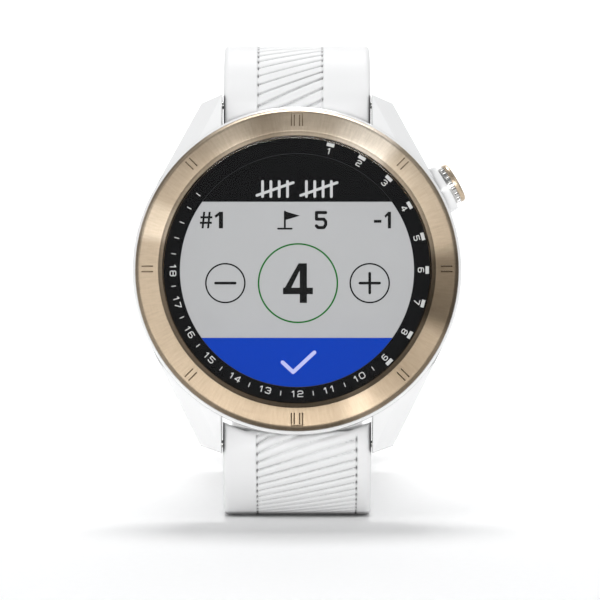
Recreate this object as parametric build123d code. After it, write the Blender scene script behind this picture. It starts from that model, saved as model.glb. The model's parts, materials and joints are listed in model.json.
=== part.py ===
from build123d import *
import math
import os

# A round sports watch with a touch display, one push button and a two-part silicone strap.
# It stands on the strap's lower half, leaning back, with the strap unfastened.
#
# Each piece is drawn in the watch's own frame, in millimetres: X to the wearer's right (3 o'clock),
# Y from the dial (Y = 0 at the bezel's front face) back to the wrist, and Z up to 12 o'clock.
# The last section leans the watch back and puts the strap's flat underside at Z = 0.

# ---------- case ----------
CASE_R = 21.7
CASE_DEPTH = 11.4
BACK_TAPER = 2.1
BACK_SHOULDER = 0.6
RIM_DEPTH = 1.3
RIM_HEIGHT = 2.3
RIM_WIDTH = 0.4
RIM_CHAMFER = 0.35
BACK_PROUD = 1.0

# ---------- bezel and lens ----------
BEZEL_FACE_WIDTH = 3.0
BEZEL_BEVEL = 0.4
BEZEL_CROWN = 0.12
BEZEL_LIP = 0.2
SEAT_GAP = 0.05
LENS_MARGIN = 0.65
LENS_THICK = 1.2
LENS_RECESS = 0.45
LENS_GAP = 0.08
BOND_GAP = 0.06
GASKET_WIDTH = 1.0
GASKET_THICK = 0.2
MARK_DEPTH = 0.12
MARK_WIDTH = 0.2
MARK_LENGTH = 1.7
MARK_MARGIN = 0.65
MARK_SPACING = 0.7
MAIN_MARK_SPACING = 1.45
MARK_COUNT = 8

# ---------- display ----------
SCALE_THICK = 0.2
SCALE_WIDTH = 2.15
PANEL_THICK = 0.8
BACKLIGHT_THICK = 0.7

# ---------- inside ----------
FRAME_THICK = 0.8
FRAME_GAP = 0.15
FRAME_POST_R = 0.9
BOARD_THICK = 0.8
BOARD_GAP = 0.9
BOARD_MARGIN = 1.3
BATTERY_PAD = 0.25
CELL_GAP = 0.1
CELL_EDGE = 0.9
MOTOR_EDGE = 0.4
ANTENNA_WIDTH = 0.7
ANTENNA_HEIGHT = 1.6
ANTENNA_SPAN = 100.0
SHIELD_THICK = 1.3
CHIP_THICK = 0.8
MOTOR_R = 3.4
# x and z of each centre
MOTOR_PLACE = (12.3, -0.4)
BATTERY_PLACE = (-1.0, -4.6)
SHIELD_PLACE = (-5.4, 7.6)
CHIP_PLACES = ((3.6, 10.4), (3.6, 6.4), (8.6, 7.2))
# width and height of each
BATTERY_SIZE = (17.0, 14.6)
SHIELD_SIZE = (9.0, 7.6)
CHIP_SIZES = ((5.0, 4.0), (3.2, 2.2), (3.0, 2.0))
FLEX_WIDTH = 6.0
FLEX_THICK = 0.12
FLEX_TAB = 2.4
FLEX_INSET = 3.6
FLEX_SLOT_GAP = 0.4

# ---------- back cover ----------
COVER_MARGIN = 1.2
COVER_GAP = 0.1
COVER_FLANGE = 1.0
COVER_BEVEL = 1.2
SEAL_THICK = 0.3
SCREW_COUNT = 4
SCREW_INSET = 1.5
SCREW_HEAD_R = 1.1
SCREW_HEAD_THICK = 0.6
SCREW_SINK = 0.5
SCREW_SHANK_R = 0.5
SCREW_LENGTH = 2.6
SCREW_BOSS_WALL = 0.8
STAR_WIDTH = 0.35
CONTACT_COUNT = 4
CONTACT_PITCH = 2.2
CONTACT_R = 0.7
CONTACT_GAP = 0.05
CONTACT_RECESS = 0.4
CONTACT_BORDER = 1.1
CONTACT_BLOCK_THICK = 0.5
CONTACT_BLOCK_BORDER = 1.2

# ---------- lugs and spring bars ----------
LUG_GAP = 20.0
LUG_ROOT_FRONT = 2.3
LUG_WALL = 1.6
LUG_TIP_WALL = 1.2
LUG_TIP_DROP = 1.0
LUG_TIP_FRONT = 5.4
LUG_FACET_WIDTH = 3.2
LUG_FACET_FALL = 2.0
LUG_BACK_FALL = 0.6
LUG_BACK_RUN = 3.0
LUG_EDGE_ANGLE = 26.6
BAR_STANDOFF = 1.0
BAR_DEPTH = 7.6
BAR_R = 0.75
BAR_WALL = 0.25
BAR_SIDE_GAP = 0.7
BAR_SOLID = 7.0
BAR_TIP_GAP = 0.2
TIP_R = 0.5
TIP_REACH = 0.95
RUN_GAP = 0.06
PIN_BORE_GAP = 0.12
RELEASE_TRAVEL = 1.1
KNOB_SEAT = 0.05
KNOB_INSET = 4.6
KNOB_HEIGHT = 1.5
KNOB_FOOT = 1.2
KNOB_GAP = 0.05
KNOB_SLOT_GAP = 0.15
KNOB_ROOM = 0.5
KNOB_ROOM_DEPTH = 6.0

# ---------- push button ----------
BUTTON_ANGLE = 30.0
BUTTON_DEPTH = 5.9
BOSS_WALL = 0.6
BOSS_HEIGHT = 1.2
SKIRT_R = 2.6
SKIRT_PROUD = 0.9
SKIRT_LENGTH = 1.75
SKIRT_WALL = 0.45
FLUTE_COUNT = 20
FLUTE_SHARE = 0.6
FLUTE_LENGTH = 0.55
CAP_OVERHANG = 0.15
CAP_THICK = 0.72
CAP_DOME = 0.45
STEM_R = 0.8
STEM_REACH = 0.9
BUTTON_TRAVEL = 0.6
BUTTON_GAP = 0.1
TUBE_WALL = 0.4
TUBE_FLANGE = 0.3
COIL_WIRE_R = 0.15
COIL_END_GAP = 0.02
BUTTON_COIL_TURNS = 4
BAR_COIL_TURNS = 7
ORING_WIRE_R = 0.17
ORING_GAP = 0.01
CLIP_WIDTH = 0.25
CLIP_HEIGHT = 0.55
CLIP_BITE = 0.25
CLIP_GAP = 0.02
SWITCH_DEPTH = 1.7
SWITCH_WIDTH = 3.2
SWITCH_THICK = 1.2
SWITCH_NOTCH_GAP = 0.3
PLUNGER_R = 0.55
PLUNGER_LENGTH = 0.9

# ---------- strap ----------
STRAP_SIDE_GAP = 0.15
STRAP_THICK = 2.6
STRAP_EDGE = 0.7
STRAP_END_WALL = 0.9
STRAP_END_GAP = 0.3
STRAP_STOP_GAP = 0.1
STRAP_RIM_GAP = 0.4
STRAP_BEND_R = 7.9
BAR_HOLE_GAP = 0.05
UPPER_STRAIGHT = 9.0
UPPER_CURVE_R = 37.0
UPPER_CURVE_ANGLE = 45.0
UPPER_TAIL = 27.0
LOWER_FLAT = 34.0
LOWER_CURVE_R = 50.0
LOWER_CURVE_ANGLE = 52.0
LOWER_TAIL = 26.0
SLOT_COUNT = 12
SLOT_PITCH = 6.8
SLOT_START = 19.0
SLOT_SIDE_GAP = 0.45
SLOT_LENGTH = 2.6

# ---------- buckle and keepers ----------
PIN_R = 0.75
PIN_EYE_WALL = 1.09
BUCKLE_ARM = 1.4
BUCKLE_THICK = 2.0
BUCKLE_LENGTH = 9.4
BUCKLE_BAR = 2.0
BUCKLE_SIDE_GAP = 0.35
BUCKLE_EDGE = 0.4
TONGUE_WIDTH = 5.4
TONGUE_THICK = 1.1
TONGUE_EYE_WALL = 0.79
TONGUE_SIDE_GAP = 0.3
TONGUE_REST_GAP = 0.08
TONGUE_SEAT = 0.4
TONGUE_TIP_GAP = 0.3
TONGUE_ROOM = 1.7
KEEPER_WIDTH = 4.6
KEEPER_WALL = 1.1
KEEPER_GAP = 0.3
FIXED_KEEPER_AT = 8.0
FREE_KEEPER_AT = 15.4

# ---------- stance ----------
LEAN = 8.0

# ---------- derived radii ----------
CASE_BACK_R = CASE_R - BACK_TAPER
BEZEL_R = CASE_R - RIM_WIDTH
BEZEL_FACE_R = BEZEL_R - BEZEL_FACE_WIDTH
LENS_R = BEZEL_FACE_R - LENS_MARGIN
LENS_BORE_R = LENS_R + LENS_GAP
PRINT_R = LENS_R - SEAT_GAP
VIEW_R = LENS_R - SCALE_WIDTH
LEDGE_R = LENS_R - GASKET_WIDTH
DISPLAY_R = LEDGE_R - FRAME_GAP
MARK_OUTER_R = BEZEL_R - MARK_MARGIN
MARK_MIDDLE_R = MARK_OUTER_R - MARK_LENGTH / 2
COVER_R = CASE_BACK_R - COVER_MARGIN
CAVITY_R = COVER_R - COVER_FLANGE
BOARD_R = CAVITY_R - BOARD_MARGIN
SCREW_PITCH_R = COVER_R - SCREW_INSET
SCREW_BOSS_R = SCREW_SHANK_R + SCREW_BOSS_WALL
STRAP_WIDTH = LUG_GAP - 2 * STRAP_SIDE_GAP
STRAP_END_R = BAR_R + BAR_HOLE_GAP + STRAP_END_WALL
BAR_Z = CASE_R + BAR_STANDOFF
LUG_TIP_Z = BAR_Z + LUG_TIP_WALL
BAR_LENGTH = LUG_GAP - 2 * BAR_SIDE_GAP
BAR_INNER_R = BAR_R - BAR_WALL
BAR_CHAMBER_START = BAR_SOLID - BAR_LENGTH / 2
PIN_STEM_R = BAR_INNER_R - RUN_GAP
PIN_BORE_R = PIN_STEM_R + PIN_BORE_GAP
KNOB_R = BAR_INNER_R + KNOB_SEAT
KNOB_X = BAR_LENGTH / 2 - KNOB_INSET
KNOB_MIDDLE_X = KNOB_X - RELEASE_TRAVEL / 2
BUCKLE_INNER = STRAP_WIDTH / 2 + BUCKLE_SIDE_GAP
BUCKLE_OUTER = BUCKLE_INNER + BUCKLE_ARM
TIP_BORE_R = TIP_R + RUN_GAP
SLOT_WIDTH = TONGUE_WIDTH + 2 * SLOT_SIDE_GAP
PIN_EYE_R = PIN_R + RUN_GAP + PIN_EYE_WALL

# ---------- derived levels, from the front to the back ----------
LENS_BACK = LENS_RECESS + LENS_THICK
BOND_BACK = LENS_BACK + BOND_GAP
SCALE_BACK = LENS_BACK + SCALE_THICK
LEDGE_FRONT = SCALE_BACK + GASKET_THICK
DISPLAY_BACK = SCALE_BACK + PANEL_THICK + BACKLIGHT_THICK
BEZEL_BACK = DISPLAY_BACK - SEAT_GAP
FRAME_BACK = DISPLAY_BACK + FRAME_THICK
BOARD_FRONT = FRAME_BACK + BOARD_GAP
BOARD_BACK = BOARD_FRONT + BOARD_THICK
CASE_BACK = CASE_DEPTH - BACK_PROUD
COVER_FRONT = CASE_BACK - COVER_FLANGE
COVER_INNER = COVER_FRONT + SEAL_THICK
BLOCK_FRONT = COVER_INNER - CONTACT_BLOCK_THICK
CELL_FRONT = BOARD_BACK + BATTERY_PAD
CELL_BACK = BLOCK_FRONT - CELL_GAP
SCREW_HEAD_BACK = CASE_DEPTH - SCREW_SINK

# ---------- derived button sizes, as distances from the dial's axis ----------
BOSS_REACH = CASE_R + BOSS_HEIGHT
SKIRT_TOP = BOSS_REACH + SKIRT_PROUD
SKIRT_INNER = SKIRT_TOP - SKIRT_LENGTH
POCKET_FLOOR = SKIRT_INNER - BUTTON_TRAVEL - 2 * BUTTON_GAP
POCKET_R = SKIRT_R + BUTTON_GAP
BOSS_R = POCKET_R + BOSS_WALL
STEM_BORE_R = STEM_R + RUN_GAP
TUBE_R = STEM_BORE_R + TUBE_WALL
TUBE_FLANGE_R = SKIRT_R - SKIRT_WALL - BUTTON_GAP
TUBE_INNER = CAVITY_R + STEM_BORE_R - TUBE_FLANGE
STEM_INNER = CAVITY_R - STEM_REACH
STEM_OUTER = SKIRT_TOP - SKIRT_WALL
SWITCH_FACE = STEM_INNER - BUTTON_TRAVEL - BUTTON_GAP
ORING_FLOOR = STEM_BORE_R - 2 * (ORING_WIRE_R + ORING_GAP)
ORING_AT = (TUBE_INNER + POCKET_FLOOR) / 2
CLIP_AT = STEM_INNER + CLIP_WIDTH + KNOB_GAP

BUCKLE_HANG = 90.0 - UPPER_CURVE_ANGLE - LEAN

UPPER_SEGMENTS = [
    ("bend", STRAP_BEND_R, 90.0),
    ("line", UPPER_STRAIGHT, 0.0),
    ("bend", UPPER_CURVE_R, UPPER_CURVE_ANGLE),
    ("line", UPPER_TAIL, 0.0),
]
LOWER_SEGMENTS = [
    ("bend", STRAP_BEND_R, 90.0 + LEAN),
    ("line", LOWER_FLAT, 0.0),
    ("bend", LOWER_CURVE_R, LOWER_CURVE_ANGLE),
    ("line", LOWER_TAIL, 0.0),
]


# ---------- helpers ----------
def along_y(radius, front, back, x=0.0, z=0.0):
    """A cylinder about the Y direction, from depth front to depth back."""
    length = back - front
    return Pos(x, (front + back) / 2, z) * Rot(X=90) * Cylinder(radius, length)


def ring_y(outer, inner, front, back, x=0.0, z=0.0):
    """A flat ring about the Y direction."""
    return along_y(outer, front, back, x, z) - along_y(inner, front - 1, back + 1, x, z)


def along_x(radius, start, end, y, z):
    """A cylinder about the X direction, from x = start to x = end."""
    length = abs(end - start)
    return Pos((start + end) / 2, y, z) * Rot(Y=90) * Cylinder(radius, length)


def turned(points):
    """A solid of revolution about the dial's axis from (radius, depth) points."""
    outline = Polyline(*[(r, y) for r, y in points], close=True)
    return revolve(make_face(outline), axis=Axis.Y)


def block(size, x=0.0, y_front=0.0, z=0.0):
    """A box centred on x and z whose front face is at depth y_front."""
    return Pos(x, y_front + size[1] / 2, z) * Box(size[0], size[1], size[2])


def direction(degrees_from_up, up):
    """Unit (y, z) heading that starts along up and turns back towards the wrist."""
    a = math.radians(degrees_from_up)
    return (math.sin(a), up * math.cos(a))


def walk(segments, up, distance=None):
    """Point, heading and turned angle on a strap's centre line after a distance (or at its end)."""
    y, z, angle = BAR_DEPTH, up * BAR_Z, 0.0
    left = distance if distance is not None else math.inf
    for kind, size, turn in segments:
        length = size if kind == "line" else size * math.radians(turn)
        step = min(left, length)
        if kind == "line":
            hy, hz = direction(angle, up)
            y, z = y + hy * step, z + hz * step
        else:
            turned_by = math.degrees(step / size)
            y0, z0 = direction(angle + 90, up)
            y1, z1 = direction(angle + turned_by - 90, up)
            y, z = y + size * (y0 + y1), z + size * (z0 + z1)
            angle += turned_by
        left -= step
        if left <= 0:
            break
    return (y, z), direction(angle, up), angle


def strap_line(segments, up):
    """The strap's centre line as joined lines and arcs in the YZ plane."""
    point, heading = (BAR_DEPTH, up * BAR_Z), direction(0, up)
    pieces, angle = [], 0.0
    for kind, size, turn in segments:
        if kind == "line":
            end = (point[0] + heading[0] * size, point[1] + heading[1] * size)
            pieces.append(Line(point, end))
        else:
            arc = JernArc(point, heading, size, -up * turn)
            pieces.append(arc)
            angle += turn
            end = (arc.position_at(1).X, arc.position_at(1).Y)
        heading = direction(angle, up)
        point = end
    return Plane.YZ * Wire([piece.edge() for piece in pieces])


def strap_section(up):
    """The strap's rounded cross-section, square to its centre line at the spring bar."""
    plane = Plane(origin=(0, BAR_DEPTH, up * BAR_Z), x_dir=(1, 0, 0), z_dir=(0, 0, up))
    return plane * RectangleRounded(STRAP_WIDTH, STRAP_THICK, STRAP_EDGE)


def strap_frame(segments, up, distance=None):
    """Plane on the centre line: local X across the strap, local Z away from the wrist, local Y along."""
    (y, z), (hy, hz), _ = walk(segments, up, distance)
    outward = (0, -up * hz, up * hy)
    return Plane(origin=(0, y, z), x_dir=(up, 0, 0), z_dir=outward)


def on_plane(plane, shape):
    """Places a shape drawn at the origin onto a plane."""
    return plane.location * shape


# ---------- case ----------
def lug_outline(side, up):
    """One lug in front view: its outer edge is tangent to the round case."""
    a = math.radians(LUG_EDGE_ANGLE)
    inner_x = LUG_GAP / 2
    tip_x = (CASE_R - (LUG_TIP_Z - LUG_TIP_DROP) * math.sin(a)) / math.cos(a)
    points = [
        (inner_x, CASE_R / 2),
        (inner_x, LUG_TIP_Z),
        (tip_x, LUG_TIP_Z - LUG_TIP_DROP),
        (CASE_R * math.cos(a), CASE_R * math.sin(a)),
        (CASE_R * math.cos(a) - LUG_WALL, CASE_R * math.sin(a) - LUG_WALL),
    ]
    return [(side * x, up * z) for x, z in points]


def cut_plane(p, q, r, keep_point):
    """Half-space side test: a plane through three points whose normal leaves keep_point behind."""
    p, q, r, k = Vector(*p), Vector(*q), Vector(*r), Vector(*keep_point)
    normal = (q - p).cross(r - p).normalized()
    if normal.dot(k - p) > 0:
        normal = -normal
    return Plane(origin=p, z_dir=normal)


def lug(side, up):
    """A lug with two front facets that meet on a ridge, and a sloping back."""
    outline = make_face(Polyline(*lug_outline(side, up), close=True))
    prism = Pos(0, CASE_BACK, 0) * Rot(X=90) * extrude(outline, CASE_BACK - LUG_ROOT_FRONT)
    a = math.radians(LUG_EDGE_ANGLE)
    inner_x = LUG_GAP / 2
    ridge_x = inner_x + LUG_FACET_WIDTH
    rim_inner_z = math.sqrt(CASE_R**2 - inner_x**2)
    rim_ridge_z = math.sqrt(CASE_R**2 - ridge_x**2)
    tip_inner = (side * inner_x, LUG_TIP_FRONT, up * LUG_TIP_Z)
    rim_inner = (side * inner_x, LUG_ROOT_FRONT, up * rim_inner_z)
    rim_ridge = (side * ridge_x, LUG_ROOT_FRONT, up * rim_ridge_z)
    tip_outer = (side * ridge_x, LUG_TIP_FRONT + LUG_FACET_FALL, up * (LUG_TIP_Z - LUG_TIP_DROP))
    inside = (side * (inner_x + ridge_x) / 2, CASE_BACK - LUG_WALL, up * rim_ridge_z)
    prism = split(prism, cut_plane(tip_inner, rim_inner, rim_ridge, inside), keep=Keep.BOTTOM)
    prism = split(prism, cut_plane(tip_inner, rim_ridge, tip_outer, inside), keep=Keep.BOTTOM)
    back_tip = (side * inner_x, CASE_BACK - LUG_BACK_FALL, up * LUG_TIP_Z)
    back_root = (side * inner_x, CASE_BACK, up * (CASE_R - LUG_BACK_RUN))
    back_side = (side * CASE_R * math.cos(a), CASE_BACK - 2 * LUG_BACK_FALL, up * CASE_R * math.sin(a))
    return split(prism, cut_plane(back_tip, back_root, back_side, inside), keep=Keep.BOTTOM)


def button_place(radial):
    """A location on the button's axis, its Z pointing out of the case."""
    a = math.radians(BUTTON_ANGLE)
    out = (math.cos(a), 0, math.sin(a))
    origin = (radial * out[0], BUTTON_DEPTH, radial * out[2])
    return Plane(origin=origin, x_dir=(0, 1, 0), z_dir=out).location


def button_cylinder(radius, inner_end, outer_end):
    """A cylinder on the button's axis between two distances from the dial's axis."""
    middle = (inner_end + outer_end) / 2
    return button_place(middle) * Cylinder(radius, outer_end - inner_end)


def case_body():
    outer = turned([
        (0, RIM_DEPTH),
        (CASE_R - RIM_CHAMFER, RIM_DEPTH),
        (CASE_R, RIM_DEPTH + RIM_CHAMFER),
        (CASE_R, RIM_DEPTH + RIM_HEIGHT),
        (CASE_BACK_R + BACK_SHOULDER, CASE_BACK - 1.5 * BACK_SHOULDER),
        (CASE_BACK_R, CASE_BACK),
        (0, CASE_BACK),
    ])
    for side in (1, -1):
        for up in (1, -1):
            outer += lug(side, up)
    outer += button_cylinder(BOSS_R, CAVITY_R, BOSS_REACH)
    outer -= along_y(BEZEL_R, RIM_DEPTH - 1, BEZEL_BACK)
    outer -= along_y(CAVITY_R, BEZEL_BACK - 1, CASE_BACK + 1)
    outer -= along_y(COVER_R + COVER_GAP, COVER_FRONT, CASE_BACK + 1)
    for up in (1, -1):
        outer -= strap_cove(up)
        for side, bore in ((1, PIN_BORE_R), (-1, TIP_BORE_R)):
            start = side * (LUG_GAP / 2 - 1)
            end = side * (LUG_GAP / 2 + TIP_REACH + BAR_TIP_GAP)
            outer -= along_x(bore, start, end, BAR_DEPTH, up * BAR_Z)
    outer -= button_cylinder(POCKET_R, POCKET_FLOOR, BOSS_REACH + 1)
    outer -= button_cylinder(TUBE_R, CAVITY_R - 1, BOSS_REACH)
    for x, z in screw_places():
        outer += along_y(SCREW_BOSS_R, COVER_FRONT - SCREW_LENGTH - SCREW_SHANK_R, COVER_FRONT, x, z)
        outer -= along_y(SCREW_SHANK_R, COVER_FRONT - SCREW_LENGTH, CASE_BACK, x, z)
    return outer


def strap_cove(up):
    """Room for the strap's rounded end between a pair of lugs, open to the wrist side."""
    radius = STRAP_END_R + STRAP_END_GAP
    round_part = along_x(radius, -LUG_GAP / 2, LUG_GAP / 2, BAR_DEPTH, up * BAR_Z)
    depth = CASE_DEPTH + 1 - BAR_DEPTH
    open_part = Pos(0, BAR_DEPTH + depth / 2, up * BAR_Z) * Box(LUG_GAP, depth, 2 * radius)
    return round_part + open_part


def screw_places():
    """Screw centres, spread evenly and turned half a step from 12 o'clock."""
    places = []
    for i in range(SCREW_COUNT):
        a = math.radians(360 / SCREW_COUNT * (i + 0.5))
        places.append((SCREW_PITCH_R * math.sin(a), SCREW_PITCH_R * math.cos(a)))
    return places


# ---------- bezel, lens and display ----------
def bezel_ring():
    """Crowned ring with a bevelled outer edge; its inner ledge carries the lens and gasket."""
    ring = turned([
        (BEZEL_FACE_R, 0),
        (BEZEL_R - BEZEL_BEVEL, BEZEL_CROWN),
        (BEZEL_R, BEZEL_CROWN + BEZEL_BEVEL),
        (BEZEL_R, BEZEL_BACK),
        (LEDGE_R, BEZEL_BACK),
        (LEDGE_R, LEDGE_FRONT),
        (LENS_BORE_R, LEDGE_FRONT),
        (LENS_BORE_R, LENS_RECESS),
        (BEZEL_FACE_R - BEZEL_LIP, LENS_RECESS - BEZEL_LIP),
    ])
    for groove in bezel_grooves():
        ring -= groove
    return ring


def bezel_grooves():
    """Pairs of engraved lines round the bezel. At 12 and 6 o'clock a wider pair, joined at its
    outer end, stands round the usual one."""
    grooves = []
    line = Box(MARK_WIDTH, 2 * MARK_DEPTH, MARK_LENGTH)
    bar = Box(MAIN_MARK_SPACING + MARK_WIDTH, 2 * MARK_DEPTH, MARK_WIDTH)
    for i in range(MARK_COUNT):
        place = Rot(Y=360 / MARK_COUNT * i) * Pos(0, MARK_DEPTH / 2, MARK_MIDDLE_R)
        spacings = [MARK_SPACING]
        if i % (MARK_COUNT // 2) == 0:
            spacings.append(MAIN_MARK_SPACING)
            grooves.append(place * Pos(0, 0, (MARK_LENGTH - MARK_WIDTH) / 2) * bar)
        for spacing in spacings:
            for side in (1, -1):
                grooves.append(place * Pos(side * spacing / 2, 0, 0) * line)
    return grooves


def cover_lens():
    lens = along_y(LENS_R, LENS_RECESS, LENS_BACK)
    front_edge = lens.edges().sort_by(Axis.Y)[0]
    return chamfer(front_edge, LENS_THICK / 6)


def display_flex():
    """The display's ribbon: from the panel's back edge round to a tab on the board."""
    z = FLEX_INSET - DISPLAY_R
    strip = block((FLEX_WIDTH, BOARD_FRONT - DISPLAY_BACK, FLEX_THICK), 0, DISPLAY_BACK, z)
    tab = block((FLEX_WIDTH, FLEX_THICK, FLEX_TAB), 0, BOARD_FRONT - FLEX_THICK, z + FLEX_TAB / 2)
    return strip + tab


def inner_frame():
    """Plastic carrier behind the display, with a slot for the ribbon and three posts."""
    plate = ring_y(CAVITY_R - FRAME_GAP, CAVITY_R / 2, DISPLAY_BACK, FRAME_BACK)
    slot = (FLEX_WIDTH + 2 * FLEX_SLOT_GAP, FRAME_THICK + 2, FLEX_THICK + 2 * FLEX_SLOT_GAP)
    plate -= block(slot, 0, DISPLAY_BACK - 1, FLEX_INSET - DISPLAY_R)
    reach = BOARD_R - 2 * FRAME_POST_R
    for i in range(3):
        a = math.radians(120 * (i + 0.5))
        plate += along_y(FRAME_POST_R, DISPLAY_BACK, BOARD_FRONT, reach * math.sin(a), reach * math.cos(a))
    return plate


def main_board():
    """Round board with a notch at its edge for the button's switch."""
    notch_depth = BOARD_R - SWITCH_FACE + PLUNGER_LENGTH + SWITCH_DEPTH + SWITCH_NOTCH_GAP
    notch_width = SWITCH_WIDTH + 2 * SWITCH_NOTCH_GAP
    notch = button_place(BOARD_R) * Box(CASE_DEPTH, notch_width, 2 * notch_depth)
    return along_y(BOARD_R, BOARD_FRONT, BOARD_BACK) - notch


def on_board(place, size, thick, front=BOARD_BACK, margin=0.0):
    """A box behind the board, square to it, with its front face at depth front."""
    return block((size[0] - margin, thick, size[1] - margin), place[0], front, place[1])


def shield_can():
    return on_board(SHIELD_PLACE, SHIELD_SIZE, SHIELD_THICK)


def chips():
    """Small packages on the board's back, as separate blocks."""
    return Compound([on_board(*chip, CHIP_THICK) for chip in zip(CHIP_PLACES, CHIP_SIZES)])


def gnss_antenna():
    """An arc of antenna strip just inside the case wall, over the top of the board."""
    middle_r = CAVITY_R - FRAME_GAP - ANTENNA_WIDTH / 2
    middle_y = FRAME_BACK + ANTENNA_HEIGHT / 2
    section = Plane.YZ * Pos(middle_y, middle_r) * Rectangle(ANTENNA_HEIGHT, ANTENNA_WIDTH)
    return Rot(Y=-ANTENNA_SPAN / 2) * revolve(section, axis=Axis.Y, revolution_arc=ANTENNA_SPAN)


def battery_pad():
    return on_board(BATTERY_PLACE, BATTERY_SIZE, BATTERY_PAD, margin=2 * CELL_EDGE)


def battery():
    cell = on_board(BATTERY_PLACE, BATTERY_SIZE, CELL_BACK - CELL_FRONT, front=CELL_FRONT)
    return fillet(cell.edges().filter_by(Axis.Z), CELL_EDGE)


def vibration_motor():
    body = along_y(MOTOR_R, BOARD_BACK, CELL_BACK, *MOTOR_PLACE)
    return fillet(body.edges().sort_by(Axis.Y)[-1], MOTOR_EDGE)


# ---------- back ----------
def back_cover():
    cover = turned([
        (0, COVER_INNER),
        (COVER_R, COVER_INNER),
        (COVER_R, CASE_BACK + COVER_GAP),
        (COVER_R - COVER_BEVEL, CASE_DEPTH),
        (0, CASE_DEPTH),
    ])
    for x, z in screw_places():
        cover -= along_y(SCREW_HEAD_R + COVER_GAP, SCREW_HEAD_BACK - SCREW_HEAD_THICK, CASE_DEPTH + 1, x, z)
        cover -= along_y(SCREW_SHANK_R + COVER_GAP, COVER_FRONT, CASE_DEPTH, x, z)
    field_height = 2 * (CONTACT_R + CONTACT_BORDER)
    field_width = CONTACT_PITCH * (CONTACT_COUNT - 1) + field_height
    recess = Rot(X=90) * SlotOverall(field_width, field_height)
    cover -= Pos(0, CASE_DEPTH, 0) * extrude(recess, CONTACT_RECESS, both=True)
    for x in contact_places():
        cover -= along_y(CONTACT_R + CONTACT_GAP, COVER_FRONT, CASE_DEPTH, x, 0)
    return cover


def contact_places():
    return [CONTACT_PITCH * (i - (CONTACT_COUNT - 1) / 2) for i in range(CONTACT_COUNT)]


def charging_contacts():
    """Round contact pads on pins that run through the cover to the contact block."""
    pads = []
    for x in contact_places():
        pad = along_y(CONTACT_R, COVER_INNER, CASE_DEPTH - CONTACT_RECESS / 2, x, 0)
        pads.append(fillet(pad.edges().sort_by(Axis.Y)[-1], CONTACT_RECESS / 3))
    return Compound(pads)


def contact_block():
    height = 2 * CONTACT_BLOCK_BORDER
    width = CONTACT_PITCH * (CONTACT_COUNT - 1) + height
    return block((width, CONTACT_BLOCK_THICK, height), 0, BLOCK_FRONT, 0)


def back_gasket():
    """Seal between the case's back ledge and the cover, clear of the screws."""
    seal = ring_y(COVER_R - COVER_GAP, CAVITY_R + COVER_GAP, COVER_FRONT, COVER_INNER)
    for x, z in screw_places():
        seal -= along_y(SCREW_SHANK_R + COVER_GAP, COVER_FRONT - 1, CASE_DEPTH, x, z)
    return seal


def back_screws():
    """Screws with a cross recess; each head sits in a counterbore of the cover."""
    shank_front = COVER_FRONT - SCREW_LENGTH + SCREW_HEAD_THICK / 3
    arm = SCREW_HEAD_R + COVER_GAP
    cross = Box(arm, SCREW_SINK, STAR_WIDTH) + Box(STAR_WIDTH, SCREW_SINK, arm)
    screws = []
    for x, z in screw_places():
        head = along_y(SCREW_HEAD_R, SCREW_HEAD_BACK - SCREW_HEAD_THICK, SCREW_HEAD_BACK, x, z)
        shank = along_y(SCREW_SHANK_R, shank_front, SCREW_HEAD_BACK - SCREW_HEAD_THICK / 2, x, z)
        screws.append(head + shank - Pos(x, SCREW_HEAD_BACK, z) * cross)
    return Compound(screws)


# ---------- push button ----------
def button_skirt():
    """Fluted steel skirt, hollow, closed at its outer end and joined to the stem."""
    skirt = button_cylinder(SKIRT_R, SKIRT_INNER, SKIRT_TOP)
    skirt -= button_cylinder(SKIRT_R - SKIRT_WALL, SKIRT_INNER - 1, STEM_OUTER)
    pitch = 2 * math.pi * SKIRT_R / FLUTE_COUNT
    flute = Cylinder(FLUTE_SHARE * pitch / 2, FLUTE_LENGTH)
    for i in range(FLUTE_COUNT):
        turn = Rot(Z=360 / FLUTE_COUNT * i)
        skirt -= button_place(SKIRT_TOP - FLUTE_LENGTH / 2) * turn * Pos(SKIRT_R, 0, 0) * flute
    return skirt


def button_cap():
    """Domed cap that covers the skirt's outer end."""
    cap = button_cylinder(SKIRT_R + CAP_OVERHANG, SKIRT_TOP, SKIRT_TOP + CAP_THICK)
    rims = cap.edges().filter_by(GeomType.CIRCLE)
    outer_rim = max(rims, key=lambda e: e.center().length)
    return fillet(outer_rim, CAP_DOME)


def button_stem():
    """Stem with a groove for the O-ring and a notch for the retaining clip."""
    stem = button_cylinder(STEM_R, STEM_INNER, STEM_OUTER)
    groove_half = ORING_WIRE_R + RUN_GAP
    groove = button_cylinder(STEM_R + 1, ORING_AT - groove_half, ORING_AT + groove_half)
    groove -= button_cylinder(ORING_FLOOR, ORING_AT - 2, ORING_AT + 2)
    notch = button_cylinder(STEM_R + 1, CLIP_AT - CLIP_GAP, CLIP_AT + CLIP_WIDTH + CLIP_GAP)
    notch -= button_cylinder(STEM_R - CLIP_BITE, CLIP_AT - 1, CLIP_AT + 1)
    return stem - groove - notch


def button_oring():
    """Seal ring in the stem's groove, just inside the guide tube's bore."""
    core = STEM_BORE_R - ORING_GAP - ORING_WIRE_R
    return button_place(ORING_AT) * Torus(core, ORING_WIRE_R)


def button_clip():
    """Open retaining ring in the stem's notch, inside the case wall."""
    outer = STEM_R + CLIP_HEIGHT
    inner = STEM_R - CLIP_BITE + CLIP_GAP
    clip = button_cylinder(outer, CLIP_AT, CLIP_AT + CLIP_WIDTH)
    clip -= button_cylinder(inner, CLIP_AT - 1, CLIP_AT + 1)
    opening = button_place(CLIP_AT) * Pos(outer, 0, 0) * Box(2 * inner + outer, 2 * inner - CLIP_GAP, 2)
    return clip - opening


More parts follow.
